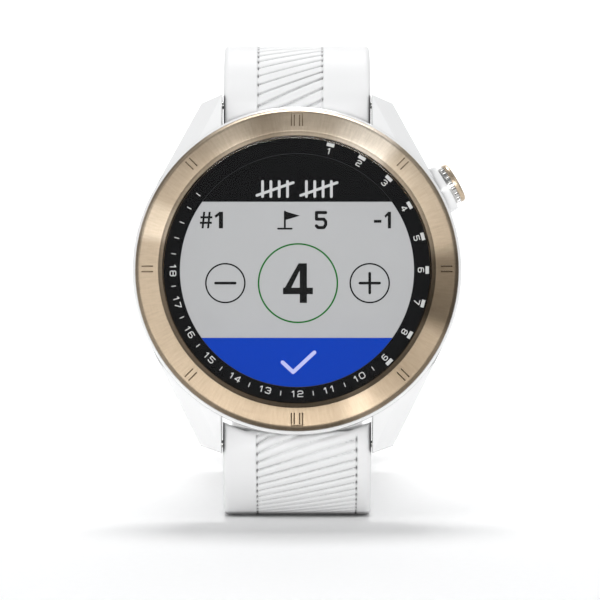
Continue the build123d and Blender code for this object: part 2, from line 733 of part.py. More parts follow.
def button_tube():
    """Guide sleeve pressed through the case wall, with a flange on the pocket's floor."""
    tube = button_cylinder(TUBE_R, TUBE_INNER, POCKET_FLOOR + TUBE_FLANGE)
    tube += button_cylinder(TUBE_FLANGE_R, POCKET_FLOOR, POCKET_FLOOR + TUBE_FLANGE)
    return tube - button_cylinder(STEM_BORE_R, TUBE_INNER - 1, BOSS_REACH)


def coil(radius, length, turns):
    """A helical spring of round wire that stands on the XY plane, with its ends inside length."""
    rise = length - 2 * COIL_WIRE_R
    line = Helix(pitch=rise / turns, height=rise, radius=radius, center=(0, 0, COIL_WIRE_R))
    section = Plane(origin=line @ 0, z_dir=line % 0) * Circle(COIL_WIRE_R)
    return sweep(section, path=line)


def button_spring():
    start = POCKET_FLOOR + TUBE_FLANGE + COIL_END_GAP
    end = STEM_OUTER - COIL_END_GAP
    radius = (STEM_R + SKIRT_R - SKIRT_WALL) / 2
    return button_place(start) * coil(radius, end - start, BUTTON_COIL_TURNS)


def button_switch():
    """Tact switch at the board's edge, with a plunger that faces the stem."""
    middle = SWITCH_FACE - PLUNGER_LENGTH - SWITCH_DEPTH / 2
    body = button_place(middle) * Box(SWITCH_THICK, SWITCH_WIDTH, SWITCH_DEPTH)
    return body + button_cylinder(PLUNGER_R, middle, SWITCH_FACE)


# ---------- spring bars ----------
def bar_tube(up):
    """Hollow bar with one fixed tip and a slot for the release knob."""
    half = BAR_LENGTH / 2
    tube = along_x(BAR_R, -half, half, BAR_DEPTH, up * BAR_Z)
    tube -= along_x(BAR_INNER_R, BAR_CHAMBER_START, half + 1, BAR_DEPTH, up * BAR_Z)
    tube += along_x(TIP_R, -LUG_GAP / 2 - TIP_REACH, -half, BAR_DEPTH, up * BAR_Z)
    slot_length = RELEASE_TRAVEL + 2 * (KNOB_R + KNOB_SLOT_GAP)
    slot = Box(slot_length, 2 * BAR_R, 2 * (KNOB_R + KNOB_GAP))
    return tube - Pos(KNOB_MIDDLE_X, BAR_DEPTH + BAR_R, up * BAR_Z) * slot


def release_pin(up):
    """Sliding tip with a knob that rests on the bar's slot and stands out on the wrist side."""
    pin = along_x(PIN_STEM_R, KNOB_X - KNOB_FOOT, LUG_GAP / 2 + TIP_REACH, BAR_DEPTH, up * BAR_Z)
    return pin + along_y(KNOB_R, BAR_DEPTH, BAR_DEPTH + STRAP_END_R + KNOB_HEIGHT, KNOB_X, up * BAR_Z)


def bar_spring(up):
    start = BAR_CHAMBER_START + COIL_END_GAP
    end = KNOB_X - KNOB_FOOT - COIL_END_GAP
    place = Plane(origin=(start, BAR_DEPTH, up * BAR_Z), z_dir=(1, 0, 0)).location
    return place * coil(BAR_INNER_R - COIL_WIRE_R - RUN_GAP, end - start, BAR_COIL_TURNS)


# ---------- strap ----------
def strap_blank(segments, up):
    return sweep(strap_section(up), path=strap_line(segments, up))


def strap_case_end(up):
    """Rounded end over the spring bar, with a square heel that meets the case wall, and corners
    that follow the round case."""
    half = STRAP_WIDTH / 2
    round_part = along_x(STRAP_END_R, -half, half, BAR_DEPTH, up * BAR_Z)
    heel_reach = STRAP_END_R + STRAP_END_GAP - STRAP_STOP_GAP
    heel = Box(STRAP_WIDTH, STRAP_END_R, heel_reach)
    heel_place = Pos(0, BAR_DEPTH + STRAP_END_R / 2, up * (BAR_Z - heel_reach / 2))
    corner_reach = BAR_Z - math.sqrt((CASE_R + STRAP_RIM_GAP) ** 2 - half**2)
    corners = Box(STRAP_WIDTH, 2 * STRAP_END_R, corner_reach)
    corners = Pos(0, BAR_DEPTH, up * (BAR_Z - corner_reach / 2)) * corners
    corners -= along_y(CASE_R + STRAP_RIM_GAP, 0, CASE_DEPTH)
    return round_part + heel_place * heel + corners


def cut_for_bar(strap, up):
    """Through hole for the spring bar and the wrist-side slot for its release knob."""
    hole = along_x(BAR_R + BAR_HOLE_GAP, -LUG_GAP, LUG_GAP, BAR_DEPTH, up * BAR_Z)
    room = KNOB_R + KNOB_ROOM
    slot = Box(RELEASE_TRAVEL + 2 * room, KNOB_ROOM_DEPTH, 2 * room)
    return strap - hole - Pos(KNOB_MIDDLE_X, BAR_DEPTH + KNOB_ROOM_DEPTH / 2, up * BAR_Z) * slot


def strap_upper():
    strap = strap_blank(UPPER_SEGMENTS, 1) + strap_case_end(1)
    end = strap_frame(UPPER_SEGMENTS, 1)
    strap += on_plane(end, Rot(Y=90) * Cylinder(PIN_EYE_R, STRAP_WIDTH))
    strap -= on_plane(end, Rot(Y=90) * Cylinder(PIN_R + RUN_GAP, STRAP_WIDTH + 2))
    gap_width = TONGUE_WIDTH + 2 * TONGUE_SIDE_GAP
    strap -= on_plane(end, Box(gap_width, 2 * (PIN_EYE_R + TONGUE_ROOM), 3 * PIN_EYE_R))
    return cut_for_bar(strap, 1)


def strap_lower():
    strap = strap_blank(LOWER_SEGMENTS, -1) + strap_case_end(-1)
    tip = strap_frame(LOWER_SEGMENTS, -1)
    nose_r = STRAP_WIDTH / 2
    nose_block = Pos(0, -nose_r / 2, 0) * Box(STRAP_WIDTH + 2, nose_r + 0.02, STRAP_THICK + 2)
    nose_round = Pos(0, -nose_r, 0) * Cylinder(nose_r, STRAP_THICK + 4)
    strap -= on_plane(tip, nose_block - nose_round)
    slot = slot_cutter()
    for i in range(SLOT_COUNT):
        strap -= on_plane(strap_frame(LOWER_SEGMENTS, -1, SLOT_START + i * SLOT_PITCH), slot)
    return cut_for_bar(strap, -1)


def slot_cutter():
    return extrude(SlotOverall(SLOT_WIDTH, SLOT_LENGTH), STRAP_THICK, both=True)


# ---------- buckle ----------
def buckle_plane():
    """Plane at the buckle pin, turned so that the frame hangs down from the strap's end."""
    (y, z), _, angle = walk(UPPER_SEGMENTS, 1)
    hy, hz = direction(angle + BUCKLE_HANG, 1)
    return Plane(origin=(0, y, z), x_dir=(1, 0, 0), z_dir=(0, -hz, hy))


def buckle_frame():
    """U-shaped frame: two arms with pin holes, joined by the front bar the tongue rests on."""
    length = BUCKLE_LENGTH + BUCKLE_BAR + PIN_EYE_R
    plate = Pos(0, length / 2 - PIN_EYE_R, 0) * Box(2 * BUCKLE_OUTER, length, BUCKLE_THICK)
    plate = fillet(plate.edges().filter_by(Axis.Z), 0.65 * BUCKLE_ARM)
    window_length = BUCKLE_LENGTH + 2 * PIN_EYE_R
    window = Box(2 * BUCKLE_INNER, window_length, 2 * BUCKLE_THICK)
    frame = plate - Pos(0, BUCKLE_LENGTH - window_length / 2, 0) * window
    frame = chamfer(frame.edges().group_by(Axis.Z)[-1], BUCKLE_EDGE)
    seat = Box(TONGUE_WIDTH + TONGUE_SEAT, 2 * BUCKLE_BAR, 2 * TONGUE_SEAT)
    frame -= Pos(0, BUCKLE_LENGTH + BUCKLE_BAR / 2, BUCKLE_THICK / 2) * seat
    frame -= Rot(Y=90) * Cylinder(PIN_R, 2 * BUCKLE_OUTER + 2)
    return on_plane(buckle_plane(), frame)


def buckle_pin():
    return on_plane(buckle_plane(), Rot(Y=90) * Cylinder(PIN_R, 2 * BUCKLE_OUTER - BUCKLE_EDGE))


def buckle_tongue():
    """Flat tongue that wraps the pin and lies in the notch of the frame's front bar."""
    rest = BUCKLE_THICK / 2 - TONGUE_SEAT + TONGUE_REST_GAP
    reach = BUCKLE_LENGTH + BUCKLE_BAR - TONGUE_TIP_GAP
    eye = Rot(Y=90) * Cylinder(PIN_R + RUN_GAP + TONGUE_EYE_WALL, TONGUE_WIDTH)
    blade = Pos(0, reach / 2, rest + TONGUE_THICK / 2) * Box(TONGUE_WIDTH, reach, TONGUE_THICK)
    blade = fillet(blade.edges().filter_by(Axis.Z).group_by(Axis.Y)[-1], TONGUE_WIDTH / 3)
    tongue = eye + blade
    tongue -= Rot(Y=90) * Cylinder(PIN_R + RUN_GAP, TONGUE_WIDTH + 2)
    return on_plane(buckle_plane(), tongue)


def keeper(distance_from_end, fit):
    """Loop round the strap with room above for the other half's tail."""
    total = strap_length(UPPER_SEGMENTS)
    plane = strap_frame(UPPER_SEGMENTS, 1, total - distance_from_end)
    low = -STRAP_THICK / 2 - fit
    high = STRAP_THICK * 1.5 + KEEPER_GAP * 2
    inner_height = high - low
    inner_width = STRAP_WIDTH + 2 * KEEPER_GAP
    middle = (high + low) / 2
    loop = Box(inner_width + 2 * KEEPER_WALL, KEEPER_WIDTH, inner_height + 2 * KEEPER_WALL)
    loop = fillet(loop.edges().filter_by(Axis.Y), KEEPER_WALL * 0.9)
    loop -= Box(inner_width, KEEPER_WIDTH + 2, inner_height)
    return on_plane(plane, Pos(0, 0, middle) * loop)


def strap_length(segments):
    total = 0.0
    for kind, size, turn in segments:
        total += size if kind == "line" else size * math.radians(turn)
    return total


# ---------- stance ----------
def stance():
    """Leans the watch back and puts the strap's flat underside at Z = 0, with the origin under the
    middle between the first two slots."""
    (y, z), _, _ = walk(LOWER_SEGMENTS, -1, SLOT_START + SLOT_PITCH / 2)
    lean = Rot(X=-LEAN)
    below = Vector(0, y, z).rotate(Axis.X, -LEAN)
    return Pos(0, -below.Y, -below.Z + STRAP_THICK / 2) * lean


def write(name, shape, place):
    export_step(place * shape, f"parts/{name}.step")


def main():
    os.makedirs("parts", exist_ok=True)
    nodes = {
        "case_body": case_body(),
        "bezel_ring": bezel_ring(),
        "cover_lens": cover_lens(),
        "scale_ring": ring_y(PRINT_R, VIEW_R, BOND_BACK, SCALE_BACK),
        "lens_gasket": ring_y(PRINT_R, LEDGE_R, SCALE_BACK, LEDGE_FRONT),
        "touch_sensor": along_y(VIEW_R - SEAT_GAP, BOND_BACK, SCALE_BACK),
        "display_panel": along_y(DISPLAY_R, SCALE_BACK, SCALE_BACK + PANEL_THICK),
        "backlight": along_y(DISPLAY_R, SCALE_BACK + PANEL_THICK, DISPLAY_BACK),
        "display_flex": display_flex(),
        "inner_frame": inner_frame(),
        "main_board": main_board(),
        "shield_can": shield_can(),
        "chips": chips(),
        "gnss_antenna": gnss_antenna(),
        "battery_pad": battery_pad(),
        "battery": battery(),
        "vibration_motor": vibration_motor(),
        "back_cover": back_cover(),
        "back_gasket": back_gasket(),
        "back_screws": back_screws(),
        "charging_contacts": charging_contacts(),
        "contact_block": contact_block(),
        "button_skirt": button_skirt(),
        "button_cap": button_cap(),
        "button_stem": button_stem(),
        "button_oring": button_oring(),
        "button_clip": button_clip(),
        "button_tube": button_tube(),
        "button_spring": button_spring(),
        "button_switch": button_switch(),
        "strap_upper": strap_upper(),
        "strap_lower": strap_lower(),
        "buckle_frame": buckle_frame(),
        "buckle_tongue": buckle_tongue(),
        "buckle_pin": buckle_pin(),
        "fixed_keeper": keeper(FIXED_KEEPER_AT, 0.0),
        "free_keeper": keeper(FREE_KEEPER_AT, KEEPER_GAP),
    }
    for label, up in (("upper", 1), ("lower", -1)):
        nodes[f"{label}_bar_tube"] = bar_tube(up)
        nodes[f"{label}_release_pin"] = release_pin(up)
        nodes[f"{label}_bar_spring"] = bar_spring(up)
    place = stance()
    for name, shape in nodes.items():
        write(name, shape, place)


main()
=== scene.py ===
import json
import math

import bmesh
import bpy
import numpy as np
from mathutils import Matrix, Vector


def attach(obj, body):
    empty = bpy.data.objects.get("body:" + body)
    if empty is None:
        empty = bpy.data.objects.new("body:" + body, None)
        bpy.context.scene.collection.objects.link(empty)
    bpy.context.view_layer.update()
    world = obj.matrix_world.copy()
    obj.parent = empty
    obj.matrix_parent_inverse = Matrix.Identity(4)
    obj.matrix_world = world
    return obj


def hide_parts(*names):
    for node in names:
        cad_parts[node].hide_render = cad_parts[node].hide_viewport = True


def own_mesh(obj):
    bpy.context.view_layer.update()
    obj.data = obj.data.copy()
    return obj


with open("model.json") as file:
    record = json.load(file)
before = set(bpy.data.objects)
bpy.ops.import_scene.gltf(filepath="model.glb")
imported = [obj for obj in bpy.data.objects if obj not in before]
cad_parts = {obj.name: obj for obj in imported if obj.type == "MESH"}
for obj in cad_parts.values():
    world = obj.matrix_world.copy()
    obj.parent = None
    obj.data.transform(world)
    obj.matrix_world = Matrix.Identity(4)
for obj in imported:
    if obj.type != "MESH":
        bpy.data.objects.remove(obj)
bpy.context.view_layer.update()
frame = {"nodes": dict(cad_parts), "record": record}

MM = 0.001
NODES = frame["nodes"]

# ---------- sizes shared with the watch, in millimetres ----------
BAR_DEPTH = 7.6
BAR_Z = 22.7
CASE_CLEAR_R = 22.1
BEZEL_R = 21.3
FACE_R = 18.3
BORE_R = 17.73
LEDGE_R = 16.65
LEDGE_Y = 2.05
BEZEL_BACK = 3.3
CROWN = 0.12
GROOVE_FLOOR = 0.24
PRINT_Y = 1.71
VIEW_R = 15.46
STRAP_W = 19.7
STRAP_H = 1.3
STRAP_CORNER = 0.7
END_R = 1.7
EYE_R = 1.9
BAR_HOLE_R = 0.8
UPPER = [("bend", 7.9, 90.0), ("line", 9.0, 0.0), ("bend", 37.0, 45.0), ("line", 27.0, 0.0)]
LOWER = [("bend", 7.9, 98.0), ("line", 34.0, 0.0), ("bend", 50.0, 52.0), ("line", 26.0, 0.0)]
SLOT_START = 19.0
SLOT_PITCH = 6.8
SLOT_COUNT = 12
SLOT_HALF = 1.85
SLOT_END_R = 1.3
KEEPER_GAP = 0.3
KEEPER_WALL = 1.1
KEEPER_WIDTH = 4.6
KEEPER_CORNER = 1.15
KEEPER_EDGE = 0.42
LEVER_SLOT = (2.55, -1.05, 5.75, 1.05)
LEVER_SLOT_TOP = -0.75
TONGUE_GAP_HALF = 3.0
TONGUE_GAP_LENGTH = 3.6
WHITE = (1.0, 1.0, 1.0)


# ---------- the watch's own axes, from the two strap hinges ----------
JOINTS = {joint["name"]: joint for joint in frame["record"]["behaviour"]["joints"]}
bar_top = Vector(JOINTS["upper_strap_hinge"]["pos_m"])
bar_low = Vector(JOINTS["lower_strap_hinge"]["pos_m"])
up_axis = (bar_top - bar_low).normalized()
right_axis = Vector((1, 0, 0))
back_axis = up_axis.cross(right_axis)
middle = (bar_top + bar_low) / 2
origin = middle - back_axis * BAR_DEPTH * MM
WATCH = Matrix((
    (right_axis.x, back_axis.x, up_axis.x, origin.x),
    (right_axis.y, back_axis.y, up_axis.y, origin.y),
    (right_axis.z, back_axis.z, up_axis.z, origin.z),
    (0, 0, 0, 1),
))


# ---------- mesh helpers ----------
def linked(name, data):
    """A new object in the scene."""
    obj = bpy.data.objects.new(name, data)
    bpy.context.scene.collection.objects.link(obj)
    return obj


def new_object(name, verts, faces):
    """An object in the watch's axes from points in millimetres."""
    mesh = bpy.data.meshes.new(name)
    mesh.from_pydata([tuple(c * MM for c in v) for v in verts], [], faces)
    mesh.update()
    obj = linked(name, mesh)
    obj.matrix_world = WATCH
    return obj


def smooth(obj, degrees):
    """Smooth shading that stays sharp where two faces meet at more than this angle."""
    mesh = obj.data
    mesh.polygons.foreach_set("use_smooth", [True] * len(mesh.polygons))
    mesh.set_sharp_from_angle(angle=math.radians(degrees))


def apply_modifiers(obj):
    """Replaces the mesh by what its modifiers make of it."""
    bpy.context.view_layer.update()
    source = obj.evaluated_get(bpy.context.evaluated_depsgraph_get())
    mesh = bpy.data.meshes.new_from_object(source)
    old = obj.data
    obj.modifiers.clear()
    obj.data = mesh
    bpy.data.meshes.remove(old)


def cut(obj, cutter):
    """Cuts one closed mesh out of another and keeps the result."""
    modifier = obj.modifiers.new("cut", "BOOLEAN")
    modifier.operation = "DIFFERENCE"
    modifier.solver = "MANIFOLD"
    modifier.object = cutter
    apply_modifiers(obj)
    bpy.data.objects.remove(cutter)


def tube_faces(rounds, count, closed=True):
    """Four-sided faces between successive rounds of points, closed into a ring or left open."""
    faces = []
    for i in range(rounds if closed else rounds - 1):
        j = (i + 1) % rounds
        for k in range(count):
            m = (k + 1) % count
            faces.append((i * count + k, i * count + m, j * count + m, j * count + k))
    return faces


def lathe(profile, segments):
    """A ring about the dial's axis from a closed (radius, depth) outline."""
    verts = []
    for i in range(segments):
        a = 2 * math.pi * i / segments
        for r, y in profile:
            verts.append((r * math.sin(a), y, r * math.cos(a)))
    return verts, tube_faces(segments, len(profile))


def prism(outline, low, high, to_point):
    """A closed prism over a 2-D outline; to_point turns (u, v, level) into a point."""
    count = len(outline)
    verts = [to_point(u, v, low) for u, v in outline] + [to_point(u, v, high) for u, v in outline]
    faces = [tuple(range(count - 1, -1, -1)), tuple(range(count, 2 * count))]
    for i in range(count):
        j = (i + 1) % count
        faces.append((i, j, count + j, count + i))
    return verts, faces


def on_dial(u, v, level):
    """The point (u, v) of the dial plane at a depth."""
    return (u, level, v)


def rectangle(x0, y0, x1, y1):
    """Outline of a rectangle from two corners."""
    return [(x0, y0), (x1, y0), (x1, y1), (x0, y1)]


def rounded_loop(half_a, half_b, corner, steps):
    """A rounded rectangle as pairs of a point and its outward direction."""
    loop = []
    for side_a, side_b, start in ((1, 1, 90), (1, -1, 0), (-1, -1, -90), (-1, 1, -180)):
        for a in np.radians(np.linspace(start, start - 90, steps)):
            out_a, out_b = math.cos(a), math.sin(a)
            point = (side_a * (half_a - corner) + corner * out_a, side_b * (half_b - corner) + corner * out_b)
            loop.append((point, (out_a, out_b)))
    return loop


def join(parts):
    """One list of points and faces from several."""
    verts, faces = [], []
    for v, f in parts:
        base = len(verts)
        verts.extend(v)
        faces.extend(tuple(base + i for i in face) for face in f)
    return verts, faces


def flip_to_outside(obj):
    """Turns every face of a closed mesh outwards."""
    work = bmesh.new()
    work.from_mesh(obj.data)
    bmesh.ops.recalc_face_normals(work, faces=work.faces)
    work.to_mesh(obj.data)
    work.free()
    obj.data.update()


# ---------- material helpers ----------
class Graph:
    """A short way to write a node graph."""

    def __init__(self, name):
        self.material = bpy.data.materials.new(name)
        self.material.use_nodes = True
        self.tree = self.material.node_tree
        self.tree.nodes.clear()
        self.out = self.add("ShaderNodeOutputMaterial")

    def add(self, kind, **values):
        """A new node with these properties."""
        node = self.tree.nodes.new(kind)
        for key, value in values.items():
            setattr(node, key, value)
        return node

    def link(self, a, b):
        self.tree.links.new(a, b)

    def put(self, socket, value):
        """Feeds a socket from another socket, or sets its value."""
        if hasattr(value, "is_output"):
            self.link(value, socket)
        else:
            socket.default_value = value

    def math(self, operation, a, b=0.0):
        """One arithmetic step."""
        node = self.add("ShaderNodeMath", operation=operation)
        self.put(node.inputs[0], a)
        self.put(node.inputs[1], b)
        return node.outputs[0]

    def coords(self, scale=(1, 1, 1)):
        """The object's own coordinates, in metres, times a scale."""
        source = self.add("ShaderNodeTexCoord").outputs["Object"]
        mapping = self.add("ShaderNodeMapping")
        self.link(source, mapping.inputs["Vector"])
        mapping.inputs["Scale"].default_value = scale
        return mapping.outputs["Vector"]

    def noise(self, vector, scale, detail=4.0, rough=0.55):
        """Cloudy noise at this many cycles per metre."""
        node = self.add("ShaderNodeTexNoise")
        self.link(vector, node.inputs["Vector"])
        node.inputs["Scale"].default_value = scale
        node.inputs["Detail"].default_value = detail
        node.inputs["Roughness"].default_value = rough
        return node.outputs["Fac"]

    def ramp(self, factor, stops, interpolation="LINEAR"):
        """Colour by value, through (place, colour) stops."""
        node = self.add("ShaderNodeValToRGB")
        node.color_ramp.interpolation = interpolation
        elements = node.color_ramp.elements
        while len(elements) < len(stops):
            elements.new(0.5)
        for element, (place, colour) in zip(elements, stops):
            element.position = place
            element.color = (*colour, 1.0)
        self.link(factor, node.inputs["Fac"])
        return node.outputs["Color"]

    def remap(self, value, low, high, to_low, to_high):
        """A value moved from one range to another."""
        node = self.add("ShaderNodeMapRange")
        self.link(value, node.inputs["Value"])
        node.inputs["From Min"].default_value = low
        node.inputs["From Max"].default_value = high
        node.inputs["To Min"].default_value = to_low
        node.inputs["To Max"].default_value = to_high
        return node.outputs["Result"]

    def mix(self, factor, a, b, blend="MIX"):
        """Two colours blended."""
        node = self.add("ShaderNodeMix", data_type="RGBA", blend_type=blend)
        self.put(node.inputs["Factor"], factor)
        for socket, value in ((node.inputs["A"], a), (node.inputs["B"], b)):
            self.put(socket, value if hasattr(value, "is_output") else (*value, 1.0))
        return node.outputs["Result"]

    def bump(self, height, distance, strength, normal=None):
        """A normal raised by a height map, on top of another normal."""
        node = self.add("ShaderNodeBump")
        node.inputs["Distance"].default_value = distance
        node.inputs["Strength"].default_value = strength
        self.link(height, node.inputs["Height"])
        if normal is not None:
            self.link(normal, node.inputs["Normal"])
        return node.outputs["Normal"]

    def soft_edges(self, radius):
        """A normal that rounds sharp edges by a radius in metres."""
        node = self.add("ShaderNodeBevel", samples=6)
        node.inputs["Radius"].default_value = radius
        return node.outputs["Normal"]

    def crease(self, distance, dark, low, high):
        """Painted shade: white in the open, falling to a dark tone where surfaces close in, by ambient
        occlusion.
        """
        node = self.add("ShaderNodeAmbientOcclusion", samples=8)
        node.inputs["Distance"].default_value = distance
        return self.ramp(node.outputs["AO"], [(low, dark), (high, WHITE)])

    def across_and_up(self):
        """The object's own X and Z, in metres."""
        split = self.add("ShaderNodeSeparateXYZ")
        self.link(self.add("ShaderNodeTexCoord").outputs["Object"], split.inputs[0])
        return split.outputs["X"], split.outputs["Z"]

    def polar(self):
        """Radius, in metres, and clockwise angle from 12 o'clock, from 0 to 1."""
        x, z = self.across_and_up()
        square = self.math("ADD", self.math("MULTIPLY", x, x), self.math("MULTIPLY", z, z))
        radius = self.math("SQRT", square)
        angle = self.math("ARCTAN2", x, z)
        turn = self.math("FRACT", self.math("ADD", self.math("DIVIDE", angle, 2 * math.pi), 1.0))
        return radius, turn

    def shader(self, colour, rough, metallic=0.0, normal=None, **extra):
        """The surface itself; further inputs are named with underscores for spaces."""
        node = self.add("ShaderNodeBsdfPrincipled")
        self.put(node.inputs["Base Color"], colour if hasattr(colour, "is_output") else (*colour, 1.0))
        self.put(node.inputs["Roughness"], rough)
        node.inputs["Metallic"].default_value = metallic
        if normal is not None:
            self.link(normal, node.inputs["Normal"])
        for key, value in extra.items():
            self.put(node.inputs[key.replace("_", " ")], value)
        self.link(node.outputs[0], self.out.inputs["Surface"])
        return node


def shade(colour, factor):
    """A colour made darker or lighter, at most full white."""
    return tuple(min(1.0, c * factor) for c in colour)


def moulded(name, colour, rough, grain, depth, edges=0.0, spread=0.03, coat=0.0, sheen=0.0, crease=0.0):
    """Moulded plastic or rubber: slow tone changes, a fine grain, softened edges and painted shade in
    creases.
    """
    g = Graph(name)
    broad = g.noise(g.coords(), 90.0, 3.0)
    fine = g.noise(g.coords(), grain, 5.0, 0.6)
    tone = g.ramp(broad, [(0.3, shade(colour, 1 - spread)), (0.7, shade(colour, 1 + spread / 2))])
    tone = g.mix(0.25, tone, g.ramp(fine, [(0.35, shade(colour, 1 - 1.5 * spread)), (0.65, colour)]))
    # painted shade: darker where surfaces close in, at creases, gaps and corners
    if crease:
        tone = g.mix(1.0, tone, g.crease(crease, (0.16, 0.16, 0.165), 0.25, 0.8), "MULTIPLY")
    roughness = g.remap(fine, 0.3, 0.7, rough * 0.88, min(1.0, rough * 1.12))
    base = g.soft_edges(edges) if edges else None
    normal = g.bump(fine, depth, 0.6, base)
    extra = {}
    if coat:
        extra["Coat_Weight"] = coat
        extra["Coat_Roughness"] = 0.08
    if sheen:
        extra["Sheen_Weight"] = sheen
        extra["Sheen_Roughness"] = 0.5
    g.shader(tone, roughness, normal=normal, **extra)
    return g.material


def machined(name, colour, rough, stretch, edges=0.0, depth=0.000004, spread=0.08):
    """Metal with fine drawn or turned lines along one direction."""
    g = Graph(name)
    lines = g.noise(g.coords(stretch), 1.0, 4.0, 0.6)
    broad = g.noise(g.coords(), 220.0, 3.0)
    tone = g.ramp(lines, [(0.3, shade(colour, 1 - spread)), (0.7, shade(colour, 1 + spread / 2))])
    tone = g.mix(0.3, tone, g.ramp(broad, [(0.35, shade(colour, 0.9)), (0.65, shade(colour, 1.04))]))
    roughness = g.remap(lines, 0.3, 0.7, rough * 0.8, rough * 1.25)
    base = g.soft_edges(edges) if edges else None
    g.shader(tone, roughness, 1.0, g.bump(lines, depth, 0.8, base))
    return g.material


def champagne(level):
    """Pale gold at a painted brightness from 0 to 1, for painted highlight and shade: bright tones look
    paler, dark ones browner.
    """
    depth = 1.3 - 0.75 * level
    return (level, level * 0.81**depth, level * 0.60**depth)


def brushed_bezel():
    """Champagne gold brushed round the dial.

    The bright and dark sectors such a finish shows are painted highlight and shade, set by
    clockwise angle from a chosen list of (share of a turn, brightness) pairs.
    """
    g = Graph("brushed_champagne_painted_light")
    radius, turn = g.polar()
    stripes = g.add("ShaderNodeCombineXYZ")
    g.link(g.math("MULTIPLY", radius, 26000.0), stripes.inputs["X"])
    g.link(g.math("MULTIPLY", turn, 46.0), stripes.inputs["Y"])
    lines = g.noise(stripes.outputs[0], 1.0, 5.0, 0.62)
    # painted highlight and shade by clockwise angle: (share of a turn, brightness)
    painted_levels = [
        (0.0, 0.60), (0.035, 0.62), (0.058, 0.90), (0.076, 1.00), (0.098, 0.98), (0.118, 0.52),
        (0.17, 0.42), (0.215, 0.36), (0.245, 0.13), (0.30, 0.085), (0.325, 0.25), (0.375, 0.20),
        (0.40, 0.23), (0.43, 0.37), (0.46, 0.21), (0.53, 0.21), (0.60, 0.28), (0.66, 0.31),
        (0.74, 0.35), (0.775, 0.37), (0.79, 0.60), (0.812, 0.56), (0.83, 0.38), (0.885, 0.40),
        (0.93, 0.62), (0.965, 0.42), (1.0, 0.60),
    ]
    painted_sectors = g.ramp(turn, [(place, champagne(level)) for place, level in painted_levels], "EASE")
    # painted highlight streaks: radial rays, lighter and darker at random by angle
    spokes = g.add("ShaderNodeCombineXYZ")
    g.link(g.math("MULTIPLY", turn, 420.0), spokes.inputs["X"])
    g.link(g.math("MULTIPLY", radius, 500.0), spokes.inputs["Y"])
    rays = g.noise(spokes.outputs[0], 1.0, 4.0, 0.65)
    fan = g.ramp(rays, [(0.3, (0.80, 0.79, 0.77)), (0.7, WHITE)])
    streaks = g.ramp(lines, [(0.28, (0.86, 0.85, 0.83)), (0.72, WHITE)])
    tone = g.mix(1.0, painted_sectors, streaks, "MULTIPLY")
    tone = g.mix(0.8, tone, fan, "MULTIPLY")
    # painted shade in the engraved marks and tight corners, by ambient occlusion
    tone = g.mix(1.0, tone, g.crease(0.00025, (0.22, 0.19, 0.15), 0.35, 0.85), "MULTIPLY")
    tangent = g.add("ShaderNodeTangent", direction_type="RADIAL", axis="Y")
    normal = g.bump(lines, 0.000004, 0.7, g.soft_edges(0.00006))
    node = g.shader(tone, g.remap(lines, 0.3, 0.7, 0.30, 0.42), 1.0, normal)
    node.inputs["Anisotropic"].default_value = 0.75
    g.link(tangent.outputs[0], node.inputs["Tangent"])
    return g.material


def clear_lens():
    """Thin clear cover: it reflects by angle and lets the dial show undarkened."""
    g = Graph("clear_lens")
    smear = g.noise(g.coords(), 260.0, 3.0)
    fresnel = g.add("ShaderNodeFresnel")
    fresnel.inputs["IOR"].default_value = 1.22
    clear = g.add("ShaderNodeBsdfTransparent")
    clear.inputs["Color"].default_value = (0.985, 0.988, 0.99, 1.0)
    shine = g.add("ShaderNodeBsdfGlossy")
    shine.inputs["Color"].default_value = (1.0, 1.0, 1.0, 1.0)
    g.link(g.remap(smear, 0.3, 0.7, 0.015, 0.04), shine.inputs["Roughness"])
    mix = g.add("ShaderNodeMixShader")
    g.link(fresnel.outputs[0], mix.inputs["Fac"])
    g.link(clear.outputs[0], mix.inputs[1])
    g.link(shine.outputs[0], mix.inputs[2])
    g.link(mix.outputs[0], g.out.inputs["Surface"])
    return g.material


CELL_PITCH = 0.00013


def lcd(name, colour, painted_glow, slope=0.0):
    """A display area: fine cell grid over a colour that shifts a little down the screen, glowing with painted
    light of that colour.
    """
    g = Graph(name)
    x, z = g.across_and_up()
    fall = g.remap(z, -0.0155, 0.0155, 1.0 - slope, 1.0 + slope)
    cells_x = g.math("SINE", g.math("MULTIPLY", x, 2 * math.pi / CELL_PITCH))
    cells_z = g.math("SINE", g.math("MULTIPLY", z, 2 * math.pi / CELL_PITCH))
    grid = g.remap(g.math("MULTIPLY", cells_x, cells_z), -1.0, 1.0, 0.97, 1.0)
    drift = g.remap(g.noise(g.coords(), 60.0, 2.0), 0.3, 0.7, 0.985, 1.0)
    level = g.math("MULTIPLY", g.math("MULTIPLY", fall, grid), drift)
    value = g.add("ShaderNodeCombineColor")
    for socket in ("Red", "Green", "Blue"):
        g.link(level, value.inputs[socket])
    tone = g.mix(1.0, colour, value.outputs[0], "MULTIPLY")
    node = g.shader(tone, 0.5)
    # painted light: the display glows in its own colour, though the screen only reflects
    g.link(tone, node.inputs["Emission Color"])
    node.inputs["Emission Strength"].default_value = painted_glow
    node.inputs["Specular IOR Level"].default_value = 0.04
    return g.material


def printed(name, colour, rough=0.6, gloss=0.2):
    """Ink or film: slight mottling and a very fine tooth."""
    g = Graph(name)
    fine = g.noise(g.coords(), 9000.0, 4.0)
    broad = g.noise(g.coords(), 300.0, 2.0)
    tone = g.mix(0.5, g.ramp(fine, [(0.3, shade(colour, 0.93)), (0.7, colour)]),
                 g.ramp(broad, [(0.3, shade(colour, 0.96)), (0.7, colour)]))
    node = g.shader(tone, g.remap(fine, 0.3, 0.7, rough * 0.9, rough), normal=g.bump(fine, 0.000002, 0.5))
    node.inputs["Specular IOR Level"].default_value = gloss
    return g.material


